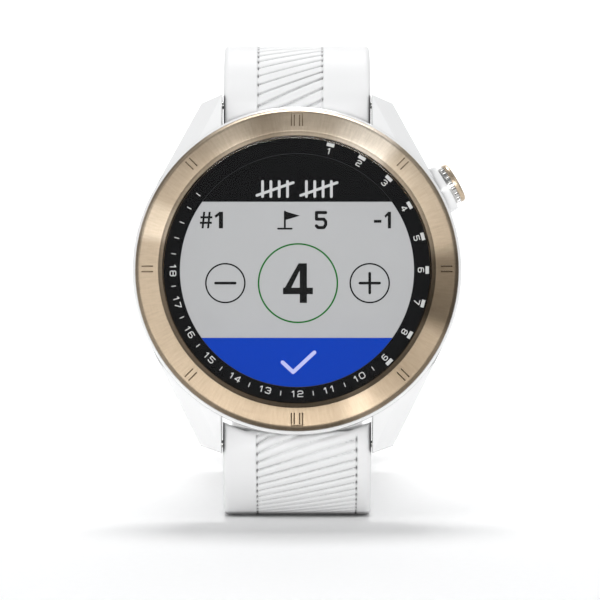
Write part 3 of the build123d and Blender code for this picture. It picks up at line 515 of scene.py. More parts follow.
def board_green():
    """Solder mask over tracks, with tinned pads."""
    g = Graph("solder_mask")
    tracks = g.add("ShaderNodeTexBrick")
    g.link(g.coords((900, 900, 900)), tracks.inputs["Vector"])
    tracks.inputs["Scale"].default_value = 1.0
    tracks.inputs["Mortar Size"].default_value = 0.05
    tracks.inputs["Color1"].default_value = (0.02, 0.17, 0.09, 1)
    tracks.inputs["Color2"].default_value = (0.025, 0.21, 0.11, 1)
    tracks.inputs["Mortar"].default_value = (0.05, 0.32, 0.17, 1)
    pads = g.add("ShaderNodeTexVoronoi")
    g.link(g.coords(), pads.inputs["Vector"])
    pads.inputs["Scale"].default_value = 620.0
    spot = g.ramp(pads.outputs["Distance"], [(0.12, (1, 1, 1)), (0.16, (0, 0, 0))])
    tone = g.mix(spot, tracks.outputs["Color"], (0.62, 0.6, 0.52))
    g.shader(tone, 0.35, normal=g.bump(tracks.outputs["Fac"], 0.00002, 0.5), Coat_Weight=0.3)
    return g.material


def foil():
    """Laminated pouch: crinkled silver film."""
    g = Graph("pouch_foil")
    crease = g.noise(g.coords(), 420.0, 6.0, 0.7)
    tone = g.ramp(crease, [(0.3, (0.52, 0.53, 0.55)), (0.7, (0.78, 0.79, 0.81))])
    normal = g.bump(crease, 0.00012, 0.7, g.soft_edges(0.0003))
    g.shader(tone, g.remap(crease, 0.3, 0.7, 0.25, 0.45), 0.9, normal)
    return g.material


def ribbon():
    """Amber film with copper conductors."""
    g = Graph("amber_ribbon")
    x, _ = g.across_and_up()
    wave = g.math("SINE", g.math("MULTIPLY", x, 2 * math.pi / 0.0005))
    bands = g.remap(wave, -0.3, 0.3, 0.0, 1.0)
    mottle = g.noise(g.coords(), 800.0)
    film = g.ramp(mottle, [(0.3, (0.42, 0.2, 0.05)), (0.7, (0.5, 0.26, 0.08))])
    tone = g.mix(bands, film, (0.78, 0.42, 0.2))
    g.shader(tone, 0.32, 0.35, g.bump(bands, 0.00002, 0.4))
    return g.material


WHITE_CASE = (0.80, 0.80, 0.80)
WHITE_SOFT = (0.75, 0.75, 0.751)
M = {
    # case, strap and keeper materials paint shade into creases and gaps where surfaces close in
    "case": moulded("case_polymer", WHITE_CASE, 0.2, 1400.0, 0.000004, 0.00028, 0.012,
                    coat=0.35, crease=0.0012),
    "strap": moulded("strap_silicone", WHITE_SOFT, 0.5, 4200.0, 0.000009, 0.0, 0.015,
                     sheen=0.15, crease=0.0009),
    "keeper": moulded("keeper_silicone", shade(WHITE_SOFT, 0.985), 0.52, 3600.0, 0.00001, 0.0, 0.02,
                      sheen=0.15, crease=0.0009),
    "cover": moulded("cover_polymer", (0.62, 0.625, 0.63), 0.42, 5200.0, 0.00002, 0.0002, 0.05),
    "inner": moulded("inner_plastic", (0.045, 0.045, 0.05), 0.45, 3000.0, 0.00001, 0.0001, 0.2),
    "chip": moulded("chip_epoxy", (0.018, 0.018, 0.02), 0.5, 6000.0, 0.000008, 0.00006, 0.25),
    "seal": moulded("seal_rubber", (0.02, 0.02, 0.021), 0.62, 3500.0, 0.00001, 0.0, 0.25),
    "pad": moulded("foam_pad", (0.03, 0.03, 0.032), 0.9, 2400.0, 0.00006, 0.0, 0.3),
    "bezel": brushed_bezel(),
    "gold": machined("turned_gold", (0.56, 0.45, 0.33), 0.3, (5200, 700, 5200), 0.00008),
    "buckle": machined("brushed_gold", (0.64, 0.52, 0.38), 0.3, (450, 9000, 9000), 0.00015),
    "steel": machined("turned_steel", (0.62, 0.62, 0.61), 0.24, (900, 6200, 6200), 0.00006),
    "skirt": machined("fluted_steel", (0.5, 0.495, 0.485), 0.24, (3200, 3200, 3200), 0.00005),
    "spring": machined("spring_wire", (0.5, 0.5, 0.5), 0.28, (9000, 9000, 900)),
    "screw": machined("screw_steel", (0.55, 0.55, 0.56), 0.27, (7000, 7000, 7000), 0.00005),
    "can": machined("tinned_sheet", (0.66, 0.66, 0.67), 0.36, (700, 5200, 5200), 0.00012),
    "contact": machined("plated_contact", (0.83, 0.62, 0.25), 0.22, (6000, 6000, 6000), 0.00005),
    "copper": ribbon(),
    "board": board_green(),
    "foil": foil(),
    "lens": clear_lens(),
    "dial": printed("dial_film", (0.004, 0.004, 0.0045), 0.5, 0.01),
    "ink": printed("scale_ink", (0.74, 0.74, 0.72), 0.55),
    "panel": printed("panel_glass", (0.05, 0.055, 0.06), 0.3),
    "light": printed("light_guide", (0.72, 0.73, 0.74), 0.4),
    # the display areas glow with painted light in their own colours
    "grey": lcd("screen_grey_area", (0.395, 0.395, 0.397), 0.33, 0.04),
    "blue": lcd("screen_blue_area", (0.0, 0.038, 0.37), 0.32, 0.03),
    "green": lcd("screen_green_line", (0.008, 0.14, 0.016), 0.15),
    "black": lcd("screen_black_mark", (0.006, 0.006, 0.006), 0.0),
    "pale": lcd("screen_pale_mark", (0.46, 0.48, 0.74), 0.30),
    "word": lcd("screen_light_mark", (0.50, 0.50, 0.50), 0.33),
}

NODE_LOOK = {
    "case_body": "case", "cover_lens": "lens", "scale_ring": "dial", "lens_gasket": "seal",
    "touch_sensor": "dial", "display_panel": "panel", "backlight": "light", "display_flex": "copper",
    "inner_frame": "inner", "main_board": "board", "shield_can": "can", "chips": "chip",
    "gnss_antenna": "copper", "battery_pad": "pad", "battery": "foil", "vibration_motor": "steel",
    "back_cover": "cover", "back_gasket": "seal", "back_screws": "screw", "charging_contacts": "contact",
    "contact_block": "inner", "button_skirt": "skirt", "button_cap": "gold", "button_stem": "steel",
    "button_oring": "seal", "button_clip": "steel", "button_tube": "steel", "button_spring": "spring",
    "button_switch": "inner", "buckle_frame": "buckle", "buckle_tongue": "buckle", "buckle_pin": "steel",
    "upper_bar_tube": "steel", "upper_release_pin": "steel", "upper_bar_spring": "spring",
    "lower_bar_tube": "steel", "lower_release_pin": "steel", "lower_bar_spring": "spring",
    "bezel_ring": "bezel", "strap_upper": "strap", "strap_lower": "strap",
    "fixed_keeper": "keeper", "free_keeper": "keeper",
}
FACETED = ("main_board", "shield_can", "chips", "contact_block", "battery_pad")
for name, obj in NODES.items():
    obj.data.materials.clear()
    obj.data.materials.append(M[NODE_LOOK[name]])
    if name not in FACETED:
        modifier = obj.modifiers.new("soft_shading", "WEIGHTED_NORMAL")
        modifier.keep_sharp = True


# ---------- straps ----------
GROOVE_WIDTH, GROOVE_EXTRA_WIDTH = 0.12, 0.08
GROOVE_DEPTH, GROOVE_EXTRA_DEPTH = 0.24, 0.14
GROOVE_FADE = 3.0
RIB_RISE = 0.055
EDGE_SOFT = 0.12
EDGE_WIDTH = 0.13
EDGE_DEPTH = 0.14
DOT_WIDTH = 0.2
DOT_DEPTH = 0.30
PATTERN_START = (-1.6, -0.9)
PATTERN_END = (9.0, 8.0)
FINE_END = 21.0
FINE_STEP = 0.085
END_BLEND = 3.2
EYE_BLEND = 4.0


def path_table(segments, up):
    """Arc length, point and heading of the strap's centre line at close steps."""
    rows = []
    y, z, angle, run = BAR_DEPTH, up * BAR_Z, 0.0, 0.0
    for kind, size, turn in segments:
        length = size if kind == "line" else size * math.radians(turn)
        steps = 1 if kind == "line" else 240
        for i in range(steps + 1):
            part = i / steps
            if kind == "line":
                a = math.radians(angle)
                py, pz = y + math.sin(a) * length * part, z + up * math.cos(a) * length * part
                heading = angle
            else:
                a0 = math.radians(angle)
                a1 = math.radians(angle + turn * part)
                py = y + size * (math.cos(a0) - math.cos(a1))
                pz = z + up * size * (math.sin(a1) - math.sin(a0))
                heading = angle + turn * part
            rows.append((run + length * part, py, pz, math.radians(heading)))
        run, y, z = rows[-1][0], rows[-1][1], rows[-1][2]
        angle += turn
    return np.array(rows)


def onto_path(points, segments, up):
    """Bends flat strap points (x across, s along, h outwards) onto the strap's centre line."""
    table = path_table(segments, up)
    x, s, h = points[:, 0], points[:, 1], points[:, 2]
    inside = np.clip(s, 0.0, table[-1, 0])
    y = np.interp(inside, table[:, 0], table[:, 1])
    z = np.interp(inside, table[:, 0], table[:, 2])
    a = np.interp(inside, table[:, 0], table[:, 3])
    beyond = s - inside
    hy, hz = np.sin(a), up * np.cos(a)
    y = y + hy * beyond - up * hz * h
    z = z + hz * beyond + up * hy * h
    return np.stack([x, y, z], axis=1)


def length_of(segments):
    """Length of a strap's centre line."""
    return sum(size if kind == "line" else size * math.radians(turn) for kind, size, turn in segments)


def step(value, low, high):
    """Smooth rise from 0 at low to 1 at high."""
    t = np.clip((value - low) / (high - low), 0.0, 1.0)
    return t * t * (3 - 2 * t)


def groove_depth(x, s, up, left, right, total):
    """How far the moulded pattern sinks the outer face: two dotted edge lines and slanting grooves.

    The grooves are steeper and further apart next to the case.
    """
    base_slope, extra_slope, fade = (0.26, 0.16, 2.6) if up > 0 else (0.235, 0.42, 1.5)
    base_pitch, extra_pitch, spread = (0.96, 0.45, 4.5) if up > 0 else (0.90, 0.22, 3.0)
    across = x - left
    lean = up * across
    c = s - base_slope * lean
    for _ in range(6):
        slope = base_slope + extra_slope * np.exp(-np.maximum(c, 0.0) / fade)
        c = 0.5 * c + 0.5 * (s - slope * lean)
    steps = np.linspace(-20.0, total + 20.0, 4000)
    pitch = base_pitch + extra_pitch * np.exp(-np.maximum(steps, 0.0) / spread)
    phase_table = np.cumsum(1.0 / pitch) * (steps[1] - steps[0])
    phase = np.interp(c, steps, phase_table)
    local_pitch = np.interp(c, steps, pitch)
    t = phase - np.floor(phase)
    near = np.minimum(t, 1 - t) * local_pitch
    extra = np.exp(-np.maximum(c, 0.0) / GROOVE_FADE)
    width = GROOVE_WIDTH + GROOVE_EXTRA_WIDTH * extra
    depth = GROOVE_DEPTH + GROOVE_EXTRA_DEPTH * extra
    fan = depth * np.exp(-(near / width) ** 2) + RIB_RISE * (1 - t if up > 0 else t)
    inside = step(x, left - 0.02, left + EDGE_SOFT) * (1 - step(x, right - EDGE_SOFT, right + 0.02))
    ends = step(s, *PATTERN_START) * (1 - step(s, total - PATTERN_END[0], total - PATTERN_END[1]))
    edge = np.maximum(np.exp(-((x - left) / EDGE_WIDTH) ** 2), np.exp(-((x - right) / EDGE_WIDTH) ** 2))
    notch = edge * (EDGE_DEPTH + DOT_DEPTH * np.exp(-(near / DOT_WIDTH) ** 2))
    return np.maximum(fan * inside, notch) * ends


def strap_section_loop(columns):
    """Parameters round the strap's section: (kind, value) for the face, edge and back columns."""
    loop = [("top", u) for u in columns]
    loop += [("right", a) for a in np.linspace(90, -90, 15)[1:-1]]
    loop += [("back", u) for u in np.linspace(1, -1, 25)]
    loop += [("left", a) for a in np.linspace(-90, -270, 15)[1:-1]]
    return loop


def strap_mesh(name, segments, up, left, right):
    """A moulded strap half: swept flat with its pattern, cut, then bent onto its centre line."""
    total = length_of(segments)
    half = STRAP_W / 2
    radius = STRAP_CORNER
    flat = half - radius
    plain = np.linspace(-flat, flat, 78)
    fine = np.concatenate([np.linspace(e - 0.36, e + 0.36, 13) for e in (left, right)])
    columns = np.unique(np.round(np.concatenate([plain, fine]), 4))
    keep = [columns[0]]
    for value in columns[1:]:
        if value - keep[-1] > 0.05:
            keep.append(value)
    columns = np.array(keep) / flat
    loop = strap_section_loop(columns)
    near_rows = np.arange(0.0, FINE_END, FINE_STEP)
    last = total if up > 0 else total - 0.02
    far_rows = np.linspace(FINE_END, last, int((last - FINE_END) / (0.16 if up > 0 else 0.235)))
    rows = [("end", t) for t in np.cos(np.linspace(0.03, math.pi / 2, 16))]
    rows += [("run", s) for s in np.concatenate([near_rows, far_rows])]
    if up > 0:
        rows += [("eye", t) for t in np.sin(np.linspace(0.12, math.pi / 2 - 0.05, 11))]
    points = np.zeros((len(rows), len(loop), 3))
    kinds = np.array([k for k, _ in loop])
    values = np.array([float(v) for _, v in loop])
    for i, (kind, t) in enumerate(rows):
        width = half
        if kind == "run" and up < 0 and t > total - half:
            width = math.sqrt(max(half**2 - (t - (total - half)) ** 2, 0.0004))
        narrow = width / half
        x = np.where((kinds == "top") | (kinds == "back"), values * flat, 0.0)
        angles = np.radians(values)
        side = (kinds == "right") | (kinds == "left")
        sign = np.where(kinds == "right", 1.0, -1.0)
        x = np.where(side, sign * flat + radius * np.cos(angles), x) * narrow
        if kind == "end":
            far = np.maximum(END_R, BAR_Z - np.sqrt(CASE_CLEAR_R**2 - np.minimum(np.abs(x), half) ** 2))
            power = 2 + 4 * step(np.abs(x), 4.0, 9.0)
            s = -far * t
            tall = END_R * (1 - np.minimum(t, 0.9996) ** power) ** (1 / power)
        elif kind == "eye":
            s = np.full(len(loop), total + EYE_R * t)
            tall = np.full(len(loop), EYE_R * math.sqrt(max(1 - t * t, 0.0)))
        else:
            s = np.full(len(loop), t)
            bulge = float(step(np.array(t), END_BLEND, 0.0)) if t < END_BLEND else 0.0
            tall = STRAP_H + (END_R - STRAP_H) * bulge
            if up > 0 and t > total - EYE_BLEND:
                rise = float(step(np.array(t), total - EYE_BLEND, total - 0.4))
                tall = STRAP_H + (EYE_R - STRAP_H) * rise
            tall = np.full(len(loop), tall)
        edge = np.minimum(radius, tall * 0.54)
        lift = np.where(kinds == "top", tall, -tall)
        wall = tall - edge
        h = np.where(side, np.where(np.sin(angles) >= 0, wall, -wall) + edge * np.sin(angles), lift)
        points[i, :, 0] = x
        points[i, :, 1] = s
        points[i, :, 2] = h
    flat_points = points.reshape(-1, 3)
    top = np.tile(kinds == "top", len(rows))
    depth = groove_depth(flat_points[:, 0], flat_points[:, 1], up, left, right, total)
    flat_points[:, 2] -= np.where(top, depth, 0.0)
    count = len(loop)
    faces = tube_faces(len(rows), count, closed=False)
    faces.append(tuple(range(count - 1, -1, -1)))
    faces.append(tuple((len(rows) - 1) * count + k for k in range(count)))
    obj = new_object(name, flat_points.tolist(), faces)
    flip_to_outside(obj)
    cut(obj, strap_cutter(up, total))
    mesh = obj.data
    raw = np.zeros(len(mesh.vertices) * 3)
    mesh.vertices.foreach_get("co", raw)
    bent = onto_path(raw.reshape(-1, 3) / MM, segments, up) * MM
    mesh.vertices.foreach_set("co", bent.ravel())
    mesh.update()
    flip_to_outside(obj)
    smooth(obj, 52)
    return obj


def strap_cutter(up, total):
    """Everything that is cut through the flat strap: bar hole, lever slot, and slots or tongue gap."""
    def across(x, s, h):
        return (h, x, s)

    def straight(x, s, h):
        return (x, s, h)

    turns = np.linspace(0, 2 * math.pi, 33)[:-1]
    ring = [(BAR_HOLE_R * math.cos(a), BAR_HOLE_R * math.sin(a)) for a in turns]
    parts = [prism(ring, -12.0, 12.0, across)]
    parts.append(prism(rectangle(*LEVER_SLOT), -6.0, LEVER_SLOT_TOP, straight))
    if up > 0:
        parts.append(prism([(total + s, h) for s, h in ring], -12.0, 12.0, across))
        gap = rectangle(-TONGUE_GAP_HALF, total - TONGUE_GAP_LENGTH, TONGUE_GAP_HALF, total + 5.0)
        parts.append(prism(gap, -4.0, 4.0, straight))
    else:
        for i in range(SLOT_COUNT):
            middle_s = SLOT_START + i * SLOT_PITCH
            outline = []
            for side, start in ((1, -90), (-1, 90)):
                for a in np.radians(np.linspace(start, start + 180, 17)):
                    x = side * SLOT_HALF + SLOT_END_R * math.cos(a)
                    outline.append((x, middle_s + SLOT_END_R * math.sin(a)))
            parts.append(prism(outline, -4.0, 4.0, straight))
    cutters = [new_object(f"cutter_{i}", *part) for i, part in enumerate(parts)]
    for cutter in cutters:
        flip_to_outside(cutter)
    first = cutters[0]
    for cutter in cutters[1:]:
        modifier = first.modifiers.new("add", "BOOLEAN")
        modifier.operation = "UNION"
        modifier.solver = "MANIFOLD"
        modifier.object = cutter
    apply_modifiers(first)
    for cutter in cutters[1:]:
        bpy.data.objects.remove(cutter)
    return first


upper_skin = strap_mesh("upper_strap_skin", UPPER, 1, -5.2, 3.4)
lower_skin = strap_mesh("lower_strap_skin", LOWER, -1, -5.3, 7.9)
for skin, node, body in (
    (upper_skin, "strap_upper", "upper_strap"),
    (lower_skin, "strap_lower", "lower_strap"),
):
    skin.data.transform(WATCH)
    skin.matrix_world = Matrix()
    skin.data.materials.clear()
    skin.data.materials.append(M["strap"])
    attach(skin, body)
    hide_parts(node)


# ---------- keepers ----------
def keeper_loop(name, from_end, fit, node, body):
    """A soft rounded loop round the strap."""
    total = length_of(UPPER)
    low = -STRAP_H - fit
    high = 3 * STRAP_H + 2 * KEEPER_GAP
    centre = (low + high) / 2
    half_x = STRAP_W / 2 + KEEPER_GAP + KEEPER_WALL / 2
    half_h = (high - low) / 2 + KEEPER_WALL / 2
    ring = rounded_loop(half_x, half_h, KEEPER_CORNER, 12)
    section = [point for point, _ in rounded_loop(KEEPER_WIDTH / 2, KEEPER_WALL / 2, KEEPER_EDGE, 7)]
    verts = []
    for (px, ph), (nx, nh) in ring:
        for along, out in section:
            verts.append((px + nx * out, total - from_end + along, centre + ph + nh * out))
    bent = onto_path(np.array(verts), UPPER, 1)
    obj = new_object(name, bent.tolist(), tube_faces(len(ring), len(section)))
    flip_to_outside(obj)
    smooth(obj, 50)
    obj.data.materials.append(M["keeper"])
    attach(obj, body)
    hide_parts(node)


keeper_loop("fixed_keeper_loop", 8.0, 0.0, "fixed_keeper", "upper_strap")
keeper_loop("free_keeper_loop", 15.4, 0.3, "free_keeper", "keeper")


# ---------- springs ----------
def pressed_spring(name, node, body):
    """A copy of a coil's mesh, carried by the given body."""
    obj = linked(name, NODES[node].data.copy())
    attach(obj, body)
    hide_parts(node)
    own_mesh(obj)


pressed_spring("button_coil", "button_spring", "case")
pressed_spring("upper_bar_coil", "upper_bar_spring", "upper_strap")
pressed_spring("lower_bar_coil", "lower_bar_spring", "lower_strap")


# ---------- bezel ----------
INNER_LIP = [(17.8, 0.44), (18.08, 0.25), (18.17, 0.12), (18.25, 0.03)]
OUTER_CHAMFER = [(20.93, 0.16), (21.02, 0.26), (21.16, 0.42), (21.25, 0.52)]
MARK_OFFSETS = (-0.35, 0.35)
MARK_HALF = 0.08
MARK_INNER = 18.95
MARK_OUTER = 20.45
FRAME_IN, FRAME_OUT = 0.65, 0.81
FRAME_TOP_IN, FRAME_TOP_OUT = 20.55, 20.75


def bezel():
    """Turned ring with a crowned face, a bright outer chamfer and engraved marks every 45 degrees."""
    profile = [(BORE_R, LEDGE_Y), (BORE_R, 0.52), *INNER_LIP]
    for i in range(13):
        t = i / 12
        profile.append((FACE_R + t * (BEZEL_R - 0.46 - FACE_R), CROWN * t**1.4))
    profile += [*OUTER_CHAMFER, (BEZEL_R, 0.64)]
    profile += [(BEZEL_R, BEZEL_BACK), (LEDGE_R, BEZEL_BACK), (LEDGE_R, LEDGE_Y)]
    obj = new_object("bezel_brushed", *lathe(profile, 360))
    flip_to_outside(obj)
    parts = []
    for i in range(8):
        a = math.radians(45 * i)

        def place(u, v, level):
            return (u * math.cos(a) + v * math.sin(a), level, v * math.cos(a) - u * math.sin(a))

        for offset in MARK_OFFSETS:
            mark = rectangle(offset - MARK_HALF, MARK_INNER, offset + MARK_HALF, MARK_OUTER)
            parts.append(prism(mark, -1.0, GROOVE_FLOOR, place))
        if i % 4 == 0:
            outline = [
                (-FRAME_OUT, MARK_INNER), (-FRAME_IN, MARK_INNER), (-FRAME_IN, FRAME_TOP_IN),
                (FRAME_IN, FRAME_TOP_IN), (FRAME_IN, MARK_INNER), (FRAME_OUT, MARK_INNER),
                (FRAME_OUT, FRAME_TOP_OUT), (-FRAME_OUT, FRAME_TOP_OUT),
            ]
            parts.append(prism(outline, -1.0, GROOVE_FLOOR, place))
    cutter = new_object("bezel_cutter", *join(parts))
    flip_to_outside(cutter)
    cut(obj, cutter)
    smooth(obj, 24)
    obj.data.materials.clear()
    obj.data.materials.append(M["bezel"])
    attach(obj, "case")
    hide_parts("bezel_ring")


bezel()


# ---------- dial printing ----------
HOUR_STEP = 15
NUMERAL_R = 16.36
NUMERAL_GAP = 0.24
NUMERAL_LINE = 0.115
BLOCK_INNER, BLOCK_OUTER, BLOCK_WIDTH = 16.96, 17.42, 1.02
TICK_INNER, TICK_OUTER, TICK_WIDTH = 16.12, 16.72, 0.1
FIRST_TICK = 142.5
LONE_TICKS = (285.0, 292.5, 300.0, 307.5)
LONE_TICK_OUTER = 16.76
STAGGER = 0.0006  # keeps slabs that overlap off one plane
CUT = 0.2
# Each digit's centre lines in a unit box, with its corners cut by CUT.
DIGITS = {
    "0": [[(CUT, 0), (1 - CUT, 0), (1, CUT), (1, 1 - CUT), (1 - CUT, 1), (CUT, 1), (0, 1 - CUT),
           (0, CUT), (CUT, 0)]],
    "1": [[(0.2, 0.78), (0.55, 1), (0.55, 0)]],
    "2": [[(0, 0.84), (CUT, 1), (1 - CUT, 1), (1, 1 - CUT), (1, 0.66), (1 - CUT, 0.5), (CUT, 0.5), (0, 0.34),
           (0, 0), (1, 0)]],
    "3": [[(0, 0.86), (CUT, 1), (1 - CUT, 1), (1, 1 - CUT), (1, 0.66), (1 - CUT, 0.5), (0.4, 0.5)],
          [(1 - CUT, 0.5), (1, 0.34), (1, CUT), (1 - CUT, 0), (CUT, 0), (0, 0.14)]],
    "4": [[(0.76, 0), (0.76, 1), (0, 0.3), (0, 0.26), (1.02, 0.26)]],
    "5": [[(1, 1), (0.02, 1), (0.02, 0.56), (1 - CUT, 0.56), (1, 0.4), (1, CUT), (1 - CUT, 0),
           (CUT, 0), (0, 0.12)]],
    "6": [[(0.92, 1), (CUT, 1), (0, 1 - CUT), (0, CUT), (CUT, 0), (1 - CUT, 0), (1, CUT), (1, 0.38),
           (1 - CUT, 0.56), (0, 0.56)]],
    "7": [[(0, 1), (1, 1), (0.36, 0)]],
    "8": [[(CUT, 0.52), (0, 0.38), (0, CUT), (CUT, 0), (1 - CUT, 0), (1, CUT), (1, 0.38), (1 - CUT, 0.52),
           (CUT, 0.52), (0, 0.66), (0, 1 - CUT), (CUT, 1), (1 - CUT, 1), (1, 1 - CUT), (1, 0.66),
           (1 - CUT, 0.52)]],
    "9": [[(0.08, 0), (1 - CUT, 0), (1, CUT), (1, 1 - CUT), (1 - CUT, 1), (CUT, 1), (0, 1 - CUT), (0, 0.62),
           (CUT, 0.44), (1, 0.44)]],
}


def strokes(lines, width, level, thick=0.012):
    """Flat ribbons along polylines in the dial plane: each stretch is a small slab with round joints."""
    parts = []
    for line in lines:
        for i, (p, q) in enumerate(zip(line[:-1], line[1:])):
            ax, az = p
            bx, bz = q
            length = math.hypot(bx - ax, bz - az)
            ux, uz = (bx - ax) / length, (bz - az) / length
            outline = []
            for cx, cz, start in ((bx, bz, -90), (ax, az, 90)):
                for a in np.radians(np.linspace(start, start + 180, 7)):
                    along, side = math.cos(a) * width / 2, math.sin(a) * width / 2
                    outline.append((cx + ux * along - uz * side, cz + uz * along + ux * side))
            lift = level - STAGGER * (i % 3)
            parts.append(prism(outline, lift - thick, lift, on_dial))
    return parts


def numeral(text, degrees, inward, height, width):
    """Polylines for a number at a clockwise angle on the dial, its foot or its head inwards."""
    a = math.radians(degrees)
    out = (math.sin(a), math.cos(a))
    side = (math.cos(a), -math.sin(a))
    flip = -1 if inward else 1
    total = len(text) * width + (len(text) - 1) * NUMERAL_GAP
    lines = []
    for i, char in enumerate(text):
        for line in DIGITS[char]:
            moved = []
            for u, v in line:
                along = flip * (-total / 2 + i * (width + NUMERAL_GAP) + u * width)
                reach = NUMERAL_R + flip * (v - 0.5) * height
                moved.append((out[0] * reach + side[0] * along, out[1] * reach + side[1] * along))
            lines.append(moved)
    return lines


def radial_bar(degrees, inner, outer, width):
    """A flat printed bar between two radii, at a clockwise angle on the dial."""
    a = math.radians(degrees)

    def place(u, v, level):
        return (v * math.sin(a) + u * math.cos(a), level, v * math.cos(a) - u * math.sin(a))

    return prism(rectangle(-width / 2, inner, width / 2, outer), PRINT_Y - 0.014, PRINT_Y - 0.001, place)


def printed_piece(name, parts, look):
    """One piece of print or display on the case, from several flat slabs."""
    obj = new_object(name, *join(parts))
    flip_to_outside(obj)
    obj.data.materials.append(M[look])
    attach(obj, "case")


numerals = []
blocks = []
ticks = []
for hour in range(1, 10):
    lines = numeral(str(hour), HOUR_STEP * hour, False, 0.70, 0.56)
    numerals += strokes(lines, NUMERAL_LINE, PRINT_Y - 0.002)
    blocks.append(radial_bar(HOUR_STEP * hour, BLOCK_INNER, BLOCK_OUTER, BLOCK_WIDTH))
for hour in range(10, 19):
    lines = numeral(str(hour), HOUR_STEP * hour, True, 0.74, 0.66)
    numerals += strokes(lines, NUMERAL_LINE, PRINT_Y - 0.002)
for i in range(10):
    ticks.append(radial_bar(FIRST_TICK + HOUR_STEP * i, TICK_INNER, TICK_OUTER, TICK_WIDTH))
for degrees in LONE_TICKS:
    ticks.append(radial_bar(degrees, TICK_INNER, LONE_TICK_OUTER, TICK_WIDTH))
printed_piece("scale_numerals", numerals, "ink")
printed_piece("scale_blocks", blocks, "ink")
printed_piece("scale_ticks", ticks, "ink")


# ---------- what the display shows ----------
FIELD_TOP = 9.05
FIELD_LOW = -8.97
FIELD_R = VIEW_R - 0.02
FIELD_Y, BAND_Y, SCREEN_BACK_Y = 1.696, 1.6965, 1.7085
MARK_Y, UNDER_Y, DIGIT_Y = 1.694, 1.6925, 1.693
TALLY_Y, TALLY_CROSS_Y = 1.704, 1.7
MARK_THICK, THIN = 0.008, 0.006
HOOP_POINTS = 96
HOOP_THICK = 0.01
ROW_X, ROW_Z = 0.13, -1.74
RING_R = 5.2
SIGN_PLACES = (-9.45, 9.6)
SIGN_R, SIGN_HALF, SIGN_LINE = 2.57, 1.3, 0.36
TEXT_Z, TEXT_HEIGHT = 6.62, 2.2
LETTER_GAP = 0.12
POLE_X = -1.6
TALLY_GROUPS = (-2.9, 2.9)
TALLY_PITCH, TALLY_REACH = 1.1, 1.65


def disc_band(low, high, radius, y_front, y_back):
    """The part of a disc between two heights."""
    outline = []
    top = math.asin(min(high / radius, 1.0))
    bottom = math.asin(max(low / radius, -1.0))
    for a in np.linspace(bottom, top, 40):
        outline.append((radius * math.cos(a), radius * math.sin(a)))
    for a in np.linspace(math.pi - top, math.pi - bottom, 40):
        outline.append((radius * math.cos(a), radius * math.sin(a)))
    if low <= -radius:
        outline = outline[:-1]
    return prism(outline, y_front, y_back, on_dial)


def hoop(cx, cz, radius, width, level):
    """A thin flat ring in the dial plane."""
    outer, inner, front = radius + width / 2, radius - width / 2, level - HOOP_THICK
    section = ((outer, level), (outer, front), (inner, front), (inner, level))
    verts = []
    for i in range(HOOP_POINTS):
        a = 2 * math.pi * i / HOOP_POINTS
        for r, y in section:
            verts.append((cx + r * math.cos(a), y, cz + r * math.sin(a)))
    return verts, tube_faces(HOOP_POINTS, len(section))


# Each sign's closed outlines in a unit box.
GLYPHS = {
    "4": [
        [(0.56, 0), (0.80, 0), (0.80, 1), (0.56, 1)],
        [(0.0, 0.22), (1.0, 0.22), (1.0, 0.385), (0.0, 0.385)],
        [(0.0, 0.30), (0.25, 0.34), (0.68, 1.0), (0.52, 1.0)],
    ],
    "1": [
        [(0.42, 0), (0.74, 0), (0.74, 1), (0.42, 1)],
        [(0.08, 0.76), (0.46, 1.0), (0.60, 1.0), (0.60, 0.80), (0.46, 0.80), (0.18, 0.63)],
    ],
    "#": [
        [(0.16, 0), (0.32, 0), (0.44, 1), (0.28, 1)],
        [(0.58, 0), (0.74, 0), (0.86, 1), (0.70, 1)],
        [(0.03, 0.27), (0.95, 0.27), (0.95, 0.40), (0.03, 0.40)],
        [(0.07, 0.60), (0.99, 0.60), (0.99, 0.73), (0.07, 0.73)],
    ],
    "-": [[(0.1, 0.34), (0.86, 0.34), (0.86, 0.51), (0.1, 0.51)]],
}


def letters(name, text, x, z, height, width):
    """Black digits and signs built from small slabs, in front of the display."""
    total = len(text) * width + (len(text) - 1) * LETTER_GAP
    parts = []
    for i, char in enumerate(text):
        left = x - total / 2 + i * (width + LETTER_GAP)
        for k, shape in enumerate(GLYPHS[char]):
            outline = [(left + u * width, z + (v - 0.5) * height) for u, v in shape]
            lift = DIGIT_Y - STAGGER * k
            parts.append(prism(outline, lift - THIN, lift, on_dial))
    printed_piece(name, parts, "black")


field = disc_band(FIELD_LOW, FIELD_TOP, FIELD_R, FIELD_Y, SCREEN_BACK_Y)
printed_piece("screen_field", [field], "grey")
band = disc_band(-VIEW_R, FIELD_LOW, FIELD_R, BAND_Y, SCREEN_BACK_Y)
printed_piece("screen_band", [band], "blue")
printed_piece("score_ring", [hoop(ROW_X, ROW_Z, RING_R, 0.21, MARK_Y)], "green")
marks = []
for cx in SIGN_PLACES:
    marks.append(hoop(cx, ROW_Z, SIGN_R, 0.2, MARK_Y))
    marks += strokes([[(cx - SIGN_HALF, ROW_Z), (cx + SIGN_HALF, ROW_Z)]], SIGN_LINE, MARK_Y, MARK_THICK)
upright = [(SIGN_PLACES[1], ROW_Z - SIGN_HALF), (SIGN_PLACES[1], ROW_Z + SIGN_HALF)]
marks += strokes([upright], SIGN_LINE, UNDER_Y, MARK_THICK)
printed_piece("step_marks", marks, "black")
letters("score_digit", "4", ROW_X, ROW_Z, 5.25, 3.95)
letters("rank_digits", "#1", -11.1, TEXT_Z, TEXT_HEIGHT, 1.72)
letters("margin_digits", "-1", 11.4, TEXT_Z, TEXT_HEIGHT, 1.3)
five = [[(2.55 + 1.25 * u, 5.62 + 2.0 * v) for u, v in line] for line in DIGITS["5"]]
printed_piece("target_digit", strokes(five, 0.42, MARK_Y, THIN), "black")
flag = strokes([[(POLE_X, 5.5), (POLE_X, 7.75)]], 0.26, MARK_Y, MARK_THICK)
